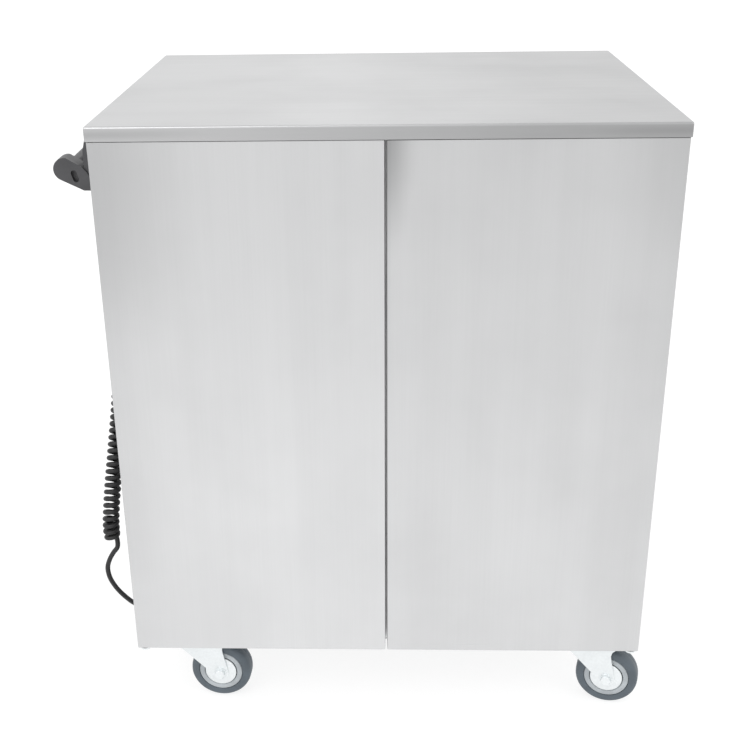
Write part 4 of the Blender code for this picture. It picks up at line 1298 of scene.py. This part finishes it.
# ---------------------------------------------------------------- casters
@dataclass
class Caster:
    """One swivel caster: plate, fork, wheel, tyre, thread guards, axle nuts and plate bolts."""

    shop: Workshop
    corner: str
    braked: bool
    leg_outer: float = 0.0205           # from the wheel's middle to the leg's outer face
    plate_thick: float = 0.0030
    tyre_seat: float = 0.0139           # from the tread in to the rim
    bolt_inset: tuple[float, float] = (0.0125, 0.0110)
    rim: Moulding = Moulding("wheel_plastic", (0.40, 0.43, 0.45), "wheel_core", 0.48)
    rubber: Moulding = Moulding("tyre_rubber", (0.085, 0.106, 0.125), "tyre", 0.50, 0.00005, 700.0)
    bolt: Fastener = Fastener(Drive.DOME, radius=0.0072, height=0.0030)
    nut: Fastener = Fastener(Drive.HEX, radius=0.0088, height=0.0062, washer=0.0104)
    # sections of (radius, distance out from the wheel's middle); the hub's radii are from the axle,
    # the web's and the tyre's shoulder's are from the rim or the tread inwards
    hub_section: Profile = ((0.0054, 0.0163), (0.0060, 0.0169), (0.0102, 0.0169), (0.011, 0.0161),
                            (0.0120, 0.0090), (0.0134, 0.0066), (0.0160, 0.0060))
    rim_section: Profile = ((0.0130, 0.0060), (0.0104, 0.0070), (0.0092, 0.0096), (0.0086, 0.0138),
                            (0.0078, 0.0148), (0.0068, 0.0150), (0.0012, 0.0150), (0.0003, 0.0144),
                            (0.0, 0.0136))
    bead_section: Profile = ((0.0, 0.0126), (0.0002, 0.0148), (0.0010, 0.0154), (0.0026, 0.0155))
    tread_section: Profile = ((0.0075, 0.0155), (0.0045, 0.0150), (0.0024, 0.0136), (0.0009, 0.0112),
                              (0.0002, 0.0080), (0.0, 0.0040), (0.0, 0.0006), (0.00015, 0.0002))
    guard_section: Profile = (
        (0.0060, 0.01745), (0.0132, 0.01745), (0.0146, 0.0170), (0.0154, 0.0166), (0.0240, 0.0166),
        (0.0252, 0.0162), (0.0258, 0.0154), (0.0258, 0.0132), (0.0250, 0.0132), (0.0250, 0.0150),
        (0.0236, 0.0158), (0.0152, 0.0158), (0.0140, 0.0160), (0.0128, 0.0171), (0.0060, 0.0171))

    def build(self) -> None:
        """Dress the caster and add its small parts."""
        joint = self.shop.joints[f"wheel_spin_{self.corner}"]
        self.hub = Vector(joint["pos_m"])
        self.axle = Vector(joint["axis"]).normalized()
        self.swivel = f"swivel_{self.corner}"
        self.shop.dress(f"caster_plate_{self.corner}", ZINC, soften=0.0005)
        self.shop.dress(f"caster_fork_{self.corner}", ZINC, soften=0.0007)
        if self.braked:
            self.shop.dress(f"brake_pedal_{self.corner}", ZINC, soften=0.0005)
        self.add_wheel()
        self.add_guards()
        self.add_bolts()

    def add_round(self, name: str, half: Profile, finish: Moulding, steps: int) -> None:
        """Add a wheel part that is the same on both sides, in place of the model's own.

        Args:
            name: wheel or tyre.
            half: its section on one side of the wheel's middle.
            finish: what it is made of.
            steps: faces round it.
        """
        whole = [*half, *[(radius, -out) for radius, out in reversed(half)]]
        self.shop.piece(f"{name}_{self.corner}", turned(whole, self.hub, self.axle, steps), finish,
                        f"wheel_{self.corner}", (f"caster_{name}_{self.corner}",))

    def add_wheel(self) -> None:
        """The moulded wheel with its rim lips and hub, and the tyre with its shoulders and moulding line."""
        rim = Extent.of(f"caster_wheel_{self.corner}").half.z
        wheel = [*self.hub_section, *[(rim - r, out) for r, out in self.rim_section]]
        self.add_round("wheel", wheel, self.rim, 72)
        seat, tread = self.hub.z - self.tyre_seat, self.hub.z
        bead = [(seat + r, out) for r, out in self.bead_section]
        self.add_round("tyre", [*bead, *[(tread - r, out) for r, out in self.tread_section]], self.rubber, 96)

    def add_guards(self) -> None:
        """A dished thread guard inside each leg."""
        for name, way in (("outer", 1.0), ("inner", -1.0)):
            mesh = turned(self.guard_section, self.hub, self.axle * way, 72)
            self.shop.piece(f"thread_guard_{name}_{self.corner}", mesh, ZINC, self.swivel)

    def add_bolts(self) -> None:
        """The axle's head and nut, and four low bolt heads under the plate, clear of the turning crown."""
        nuts = [(self.hub + self.axle * way * self.leg_outer, self.axle * way) for way in (-1.0, 1.0)]
        self.shop.heads(f"axle_nuts_{self.corner}", self.nut, nuts, self.swivel)
        plate = Extent.of(f"caster_plate_{self.corner}")
        under = plate.high.z - self.plate_thick
        bolts = [((x, y, under), (0, 0, -1)) for x in plate.inside(Axis.X, self.bolt_inset[0])
                 for y in plate.inside(Axis.Y, self.bolt_inset[1])]
        self.shop.heads(f"plate_bolts_{self.corner}", self.bolt, bolts)


# ---------------------------------------------------------------- studio
@dataclass(frozen=True)
class Lamp:
    """One soft area light."""

    name: str
    place: tuple[float, float, float]
    aim: tuple[float, float, float]
    size: float
    power: float

    def build(self) -> None:
        """Hang the light and point it."""
        data = bpy.data.lights.new(self.name, "AREA")
        data.shape = "SQUARE"
        data.size = self.size
        data.energy = self.power
        item = bpy.data.objects.new(self.name, data)
        item.location = self.place
        item.rotation_euler = (Vector(self.aim) - Vector(self.place)).to_track_quat("-Z", "Y").to_euler()
        bpy.context.scene.collection.objects.link(item)


@dataclass
class Studio:
    """A pale floor, soft light and the camera."""

    sky: float = 1.02
    floor_tone: float = 0.24
    floor_glow: float = 0.80
    floor_half: float = 40.0
    lens: float = 56.11
    shift: float = 0.0407
    camera_from_door: tuple[float, float, float] = (-0.0005, -1.5405, 1.2775)
    heading: float = -2.20
    tilt: float = 23.55
    roll: float = -0.94
    lamps: tuple[Lamp, ...] = (
        Lamp("key", (-1.6, -2.4, 3.2), (0.0, 0.0, 0.5), 2.4, 34.0),
        Lamp("fill", (2.4, -1.6, 2.0), (0.0, 0.0, 0.5), 2.0, 12.0),
        Lamp("rear", (0.6, 2.6, 3.0), (0.0, 0.0, 0.7), 2.4, 8.0))

    def build(self) -> None:
        """Set up the floor, the sky, the lights and the camera."""
        self.lay_floor()
        self.light_sky()
        for lamp in self.lamps:
            lamp.build()
        self.place_camera()
        bpy.context.scene.view_settings.view_transform = "Standard"

    def lay_floor(self) -> None:
        """A wide pale floor with a faint unevenness."""
        bm = bmesh.new()
        half = self.floor_half
        corners = ((-half, -half), (half, -half), (half, half), (-half, half))
        bm.faces.new([bm.verts.new((x, y, 0.0)) for x, y in corners])
        tree = Tree("studio_floor")
        drift = tree.noise((0.6, 0.6, 0.6), detail=2.0)
        tree.tone((self.floor_tone,) * 3, tree.ranged(drift, 0.3, 0.7, 0.99, 1.0))
        tree.set(Roughness=0.8, Emission_Color=(1.0, 1.0, 1.0, 1.0), Emission_Strength=self.floor_glow)
        mesh = to_mesh(bm)
        mesh.materials.append(tree.material)
        floor = bpy.data.objects.new("studio_floor", mesh)
        bpy.context.scene.collection.objects.link(floor)

    def light_sky(self) -> None:
        """An even white sky."""
        world = bpy.data.worlds.new("studio_sky")
        world.use_nodes = True
        back = world.node_tree.nodes["Background"]
        back.inputs["Color"].default_value = (1.0, 1.0, 1.0, 1.0)
        back.inputs["Strength"].default_value = self.sky
        bpy.context.scene.world = world

    def place_camera(self) -> None:
        """Put the camera before the doors, a little above the worktop."""
        yaw, tilt, roll = (math.radians(a) for a in (self.heading, self.tilt, self.roll))
        ahead = Vector((math.sin(yaw) * math.cos(tilt), math.cos(yaw) * math.cos(tilt), -math.sin(tilt)))
        level = Vector((math.cos(yaw), -math.sin(yaw), 0.0))
        above = level.cross(ahead)
        right = level * math.cos(roll) + above * math.sin(roll)
        up = above * math.cos(roll) - level * math.sin(roll)
        left_low, right_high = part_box("door_skin_left")[0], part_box("door_skin_right")[1]
        origin = Vector(((left_low.x + right_high.x) / 2, left_low.y, 0.0))
        data = bpy.data.cameras.new("camera")
        data.lens = self.lens
        data.shift_x = self.shift
        camera = bpy.data.objects.new("camera", data)
        spot = origin + Vector(self.camera_from_door)
        camera.matrix_world = Matrix((
            (right.x, up.x, -ahead.x, spot.x), (right.y, up.y, -ahead.y, spot.y),
            (right.z, up.z, -ahead.z, spot.z), (0, 0, 0, 1)))
        bpy.context.scene.collection.objects.link(camera)
        bpy.context.scene.camera = camera


def main() -> None:
    """Build the carrier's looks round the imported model."""
    logging.basicConfig(level=logging.INFO, format="%(message)s")
    for item in list(bpy.data.objects):
        bpy.data.objects.remove(item, do_unlink=True)
    shop = Workshop(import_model())
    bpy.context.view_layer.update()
    Studio().build()
    for assembly in (MainsLead, Casing, Doors, Chambers, PushHandle, Controls):
        assembly(shop).build()
    for corner in ("front_left", "front_right", "rear_left", "rear_right"):
        Caster(shop, corner, braked=corner.startswith("rear")).build()
    LOG.info("%d pieces added", shop.pieces)


if __name__ == "__main__":
    main()
